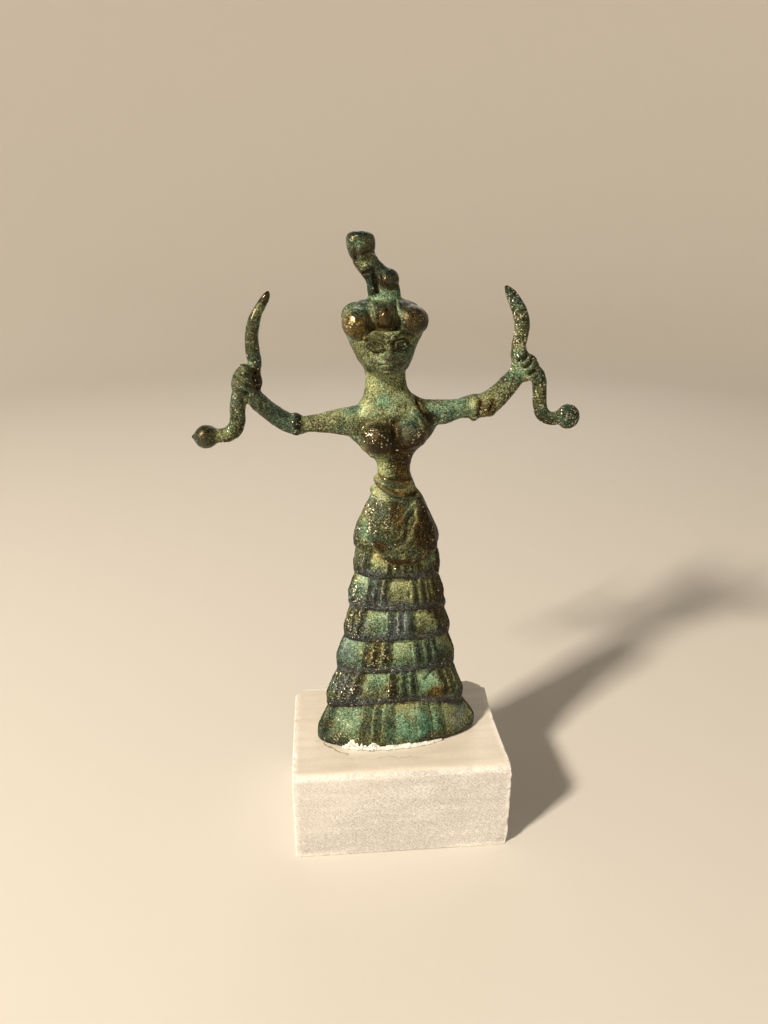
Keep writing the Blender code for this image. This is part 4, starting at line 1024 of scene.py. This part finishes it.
def build_glue_mesh():
    """The bead of glue, in the casting's parts: a ragged strip bent round the front of the hem."""
    left, right, front = FLOUNCES[0][:3]
    gap = (figure_low.z - block_high.z) / PART
    bm = bmesh.new()

    def place(turn, t):
        at = GLUE_FROM + (GLUE_TO - GLUE_FROM) * t
        edge = Vector((0.5 * (right - left) + 0.5 * (left + right) * math.sin(at), -front * math.cos(at), 0))
        outward = Vector((math.sin(at) * front, -math.cos(at) * 0.5 * (left + right), 0.0)).normalized()
        ragged = noise.noise(Vector((11.0 * t, 0.0, 0.0))) + 0.4 * noise.noise(Vector((27.0 * t, 2.0, 0.0)))
        torn = noise.noise(Vector((13.0 * t, 5.0, 1.0))) + 0.7 * noise.noise(Vector((31.0 * t, 9.0, 1.0)))
        ends = math.sin(math.pi * (0.01 + 0.98 * t)) ** 0.35
        wide = GLUE_WIDTH * ends * max(0.2, 0.7 + 0.6 * ragged)
        torn = min(1.15, max(0.1, 0.8 + 1.5 * torn))
        climb = 0.25 + ends * smooth([[height] for height in GLUE_CLIMB], t)[0] * torn
        thick = GLUE_THICKNESS * ends
        section = [(-GLUE_UNDER_HEM, -gap), (wide, -gap), (0.8 * wide, thick), (0.3, thick + 0.3 * climb),
                   (0.2, 0.9 * climb), (-0.05 - 0.1 * climb, climb), (-GLUE_UNDER_HEM, 0.7 * climb),
                   (-GLUE_UNDER_HEM, 0.2 * climb)]
        step, share = divmod(turn / (2.0 * math.pi) % 1.0 * len(section), 1.0)
        start, end = (Vector(section[int(step + more) % len(section)]) for more in (0, 1))
        out, up = start.lerp(end, share)
        return edge + outward * out + Vector((0.0, 0.0, up))
    tube(bm, 24, 420, place)
    bmesh.ops.recalc_face_normals(bm, faces=bm.faces)
    mesh = mesh_of(bm, "dried_glue")
    mesh.transform(FIGURE_SEAT)
    return mesh


# Dried white glue: chalky and almost matt, with dark hairline cracks where it has shrunk, and darker along
# its foot on the stone, a painted shade of the gap where it has lifted.
CRACK_SPACING = 0.003
CRACK_BEND = 0.0025
SMEAR_SIZE = 0.0011


def build_glue():
    """The glue's finish, with cracks about three millimetres apart."""
    glue, shader, place = new_finish("White glue, dried and cracked")
    bent = add(glue, "TexNoise", {0: place, "Scale": 1.0 / CRACK_BEND, "Detail": 3.0}, out=1)
    bent = add(glue, "VectorMath", {0: bent, "Scale": 0.0030}, operation="SCALE")
    bent = add(glue, "VectorMath", {0: bent, 1: place}, operation="ADD")
    cells = add(glue, "TexVoronoi", {0: bent, "Scale": 1.0 / CRACK_SPACING}, out="Distance",
                feature="DISTANCE_TO_EDGE")
    cracks_and_shade = add(glue, "MapRange", {0: cells, 1: 0.0, 2: 0.03})
    smear = add(glue, "TexNoise", {0: place, "Scale": 1.0 / SMEAR_SIZE, "Detail": 3.0})
    dried = add(glue, "Mix", {0: smear, 6: linear("#c9c7bf"), 7: linear("#edebe4")}, data_type="RGBA", out=2)
    rise = add(glue, "SeparateXYZ", {0: place}, out=2)
    # Low on the glue, next to the stone, it is darkened: a painted shade of the gap under its lifted edge.
    lifted_edge_shade = add(glue, "Math", {0: smear, 1: 0.0006, 2: rise}, operation="MULTIPLY_ADD")
    lifted_edge_shade = add(glue, "MapRange", {0: lifted_edge_shade, 1: block_high.z + 0.00034, 2: block_high.z + 0.00046, 3: 0.25})
    cracks_and_shade = add(glue, "Math", {0: cracks_and_shade, 1: lifted_edge_shade}, operation="MULTIPLY")
    colour = add(glue, "Mix", {0: cracks_and_shade, 6: linear("#6b6255"), 7: dried}, data_type="RGBA", out=2)
    bump = add(glue, "Bump", {"Strength": 0.7, "Distance": 0.00015, "Height": smear})
    feed(glue, shader, {"Base Color": colour, "Normal": bump, "Roughness": 0.6, "IOR": 1.47})
    return glue


finished("dried_glue", build_glue_mesh(), build_glue(), "adhesive_seam")

# The studio: a pale matt sweep that curves up all round, one soft light from the front left, from
# where the photograph is lit, a weak one opposite, one from behind, and pale air.
FLOOR_RADIUS = 0.55
SWEEP_RADIUS = 0.35
SWEEP_TOP = 1.0


def build_sweep():
    """The floor, turned from one profile that runs out level and then up."""
    bm = bmesh.new()
    profile = [(0.0, 0.0)]
    profile += [(FLOOR_RADIUS + SWEEP_RADIUS * math.sin(turn), SWEEP_RADIUS * (1.0 - math.cos(turn)))
                for turn in np.linspace(0.0, 0.5 * math.pi, 13)]
    profile.append((FLOOR_RADIUS + SWEEP_RADIUS, SWEEP_TOP))
    verts = [bm.verts.new((reach, 0.0, height)) for reach, height in profile]
    edges = [bm.edges.new(pair) for pair in zip(verts, verts[1:])]
    bmesh.ops.spin(bm, geom=verts + edges, cent=(0.0, 0.0, 0.0), axis=(0.0, 0.0, 1.0), angle=2.0 * math.pi,
                   steps=96, use_merge=True)
    bmesh.ops.remove_doubles(bm, verts=bm.verts, dist=1e-5)
    bmesh.ops.recalc_face_normals(bm, faces=bm.faces)
    if min(bm.faces, key=lambda face: face.calc_center_median().length).normal.z < 0.0:
        bmesh.ops.reverse_faces(bm, faces=bm.faces)
    mesh = mesh_of(bm, "studio_sweep")
    mesh.shade_smooth()
    paper = bpy.data.materials.new("Pale matt paper")
    paper.use_nodes = True
    feed(paper, paper.node_tree.nodes["Principled BSDF"], {"Base Color": linear("#cac6be"), "Roughness": 0.9})
    mesh.materials.append(paper)
    sweep = shown("studio_sweep", mesh)


def add_light(name, place, size, watts, colour):
    """A square soft light that looks at the middle of the figure."""
    light = bpy.data.lights.new(name, "AREA")
    light.size = size
    light.energy = watts
    light.color = linear(colour)[:3]
    lamp = shown(name, light)
    lamp.location = place
    lamp.rotation_euler = (Vector((0.0, 0.0, 0.06)) - Vector(place)).to_track_quat("-Z", "Y").to_euler()


build_sweep()
add_light("key_light", (-0.587, -0.478, 0.634), 0.10, 15.3, "#fff1df")
add_light("fill_light", (0.45, -0.30, 0.30), 0.35, 0.10, "#fff6ea")
add_light("back_light", (0.10, 0.45, 0.35), 0.30, 0.35, "#ffffff")
air = bpy.data.worlds.new("Pale air")
air.use_nodes = True
feed(air, air.node_tree.nodes["Background"], {"Color": linear("#efe8dd"), "Strength": 0.035})
bpy.context.scene.world = air
bpy.context.scene.view_settings.view_transform = "Standard"

# The camera: where the photograph was taken from, a little to the left of the block and above the
# figure, looking down. The focal length is the one that the block's corners give.
CAMERA_TILT = math.radians(21.7)
CAMERA_ROLL = math.radians(-0.1)
CAMERA_SWING = math.radians(-4.5)
CAMERA_BACK = 0.156
CAMERA_UP = 0.141
CAMERA_ASIDE = 0.0029
FOCAL_PIXELS = 770.0
IMAGE_HEIGHT = 1024.0
SENSOR = 36.0
ahead = Vector((0.0, math.cos(CAMERA_TILT), -math.sin(CAMERA_TILT)))
right = Vector((1.0, 0.0, 0.0))
upward = right.cross(ahead)
rolled_right = math.cos(CAMERA_ROLL) * right + math.sin(CAMERA_ROLL) * upward
rolled_up = math.cos(CAMERA_ROLL) * upward - math.sin(CAMERA_ROLL) * right
swing = Matrix.Rotation(CAMERA_SWING, 3, "Z")
axes = Matrix((swing @ rolled_right, swing @ rolled_up, swing @ -ahead)).transposed()
camera = shown("photo_camera", bpy.data.cameras.new("photo_camera"))
camera.matrix_world = (Matrix.Translation(swing @ Vector((-CAMERA_ASIDE, -CAMERA_BACK, CAMERA_UP)))
                       @ axes.to_4x4())
camera.data.lens = FOCAL_PIXELS / IMAGE_HEIGHT * SENSOR
camera.data.sensor_width = SENSOR
camera.data.clip_start = 0.001
bpy.context.scene.camera = camera
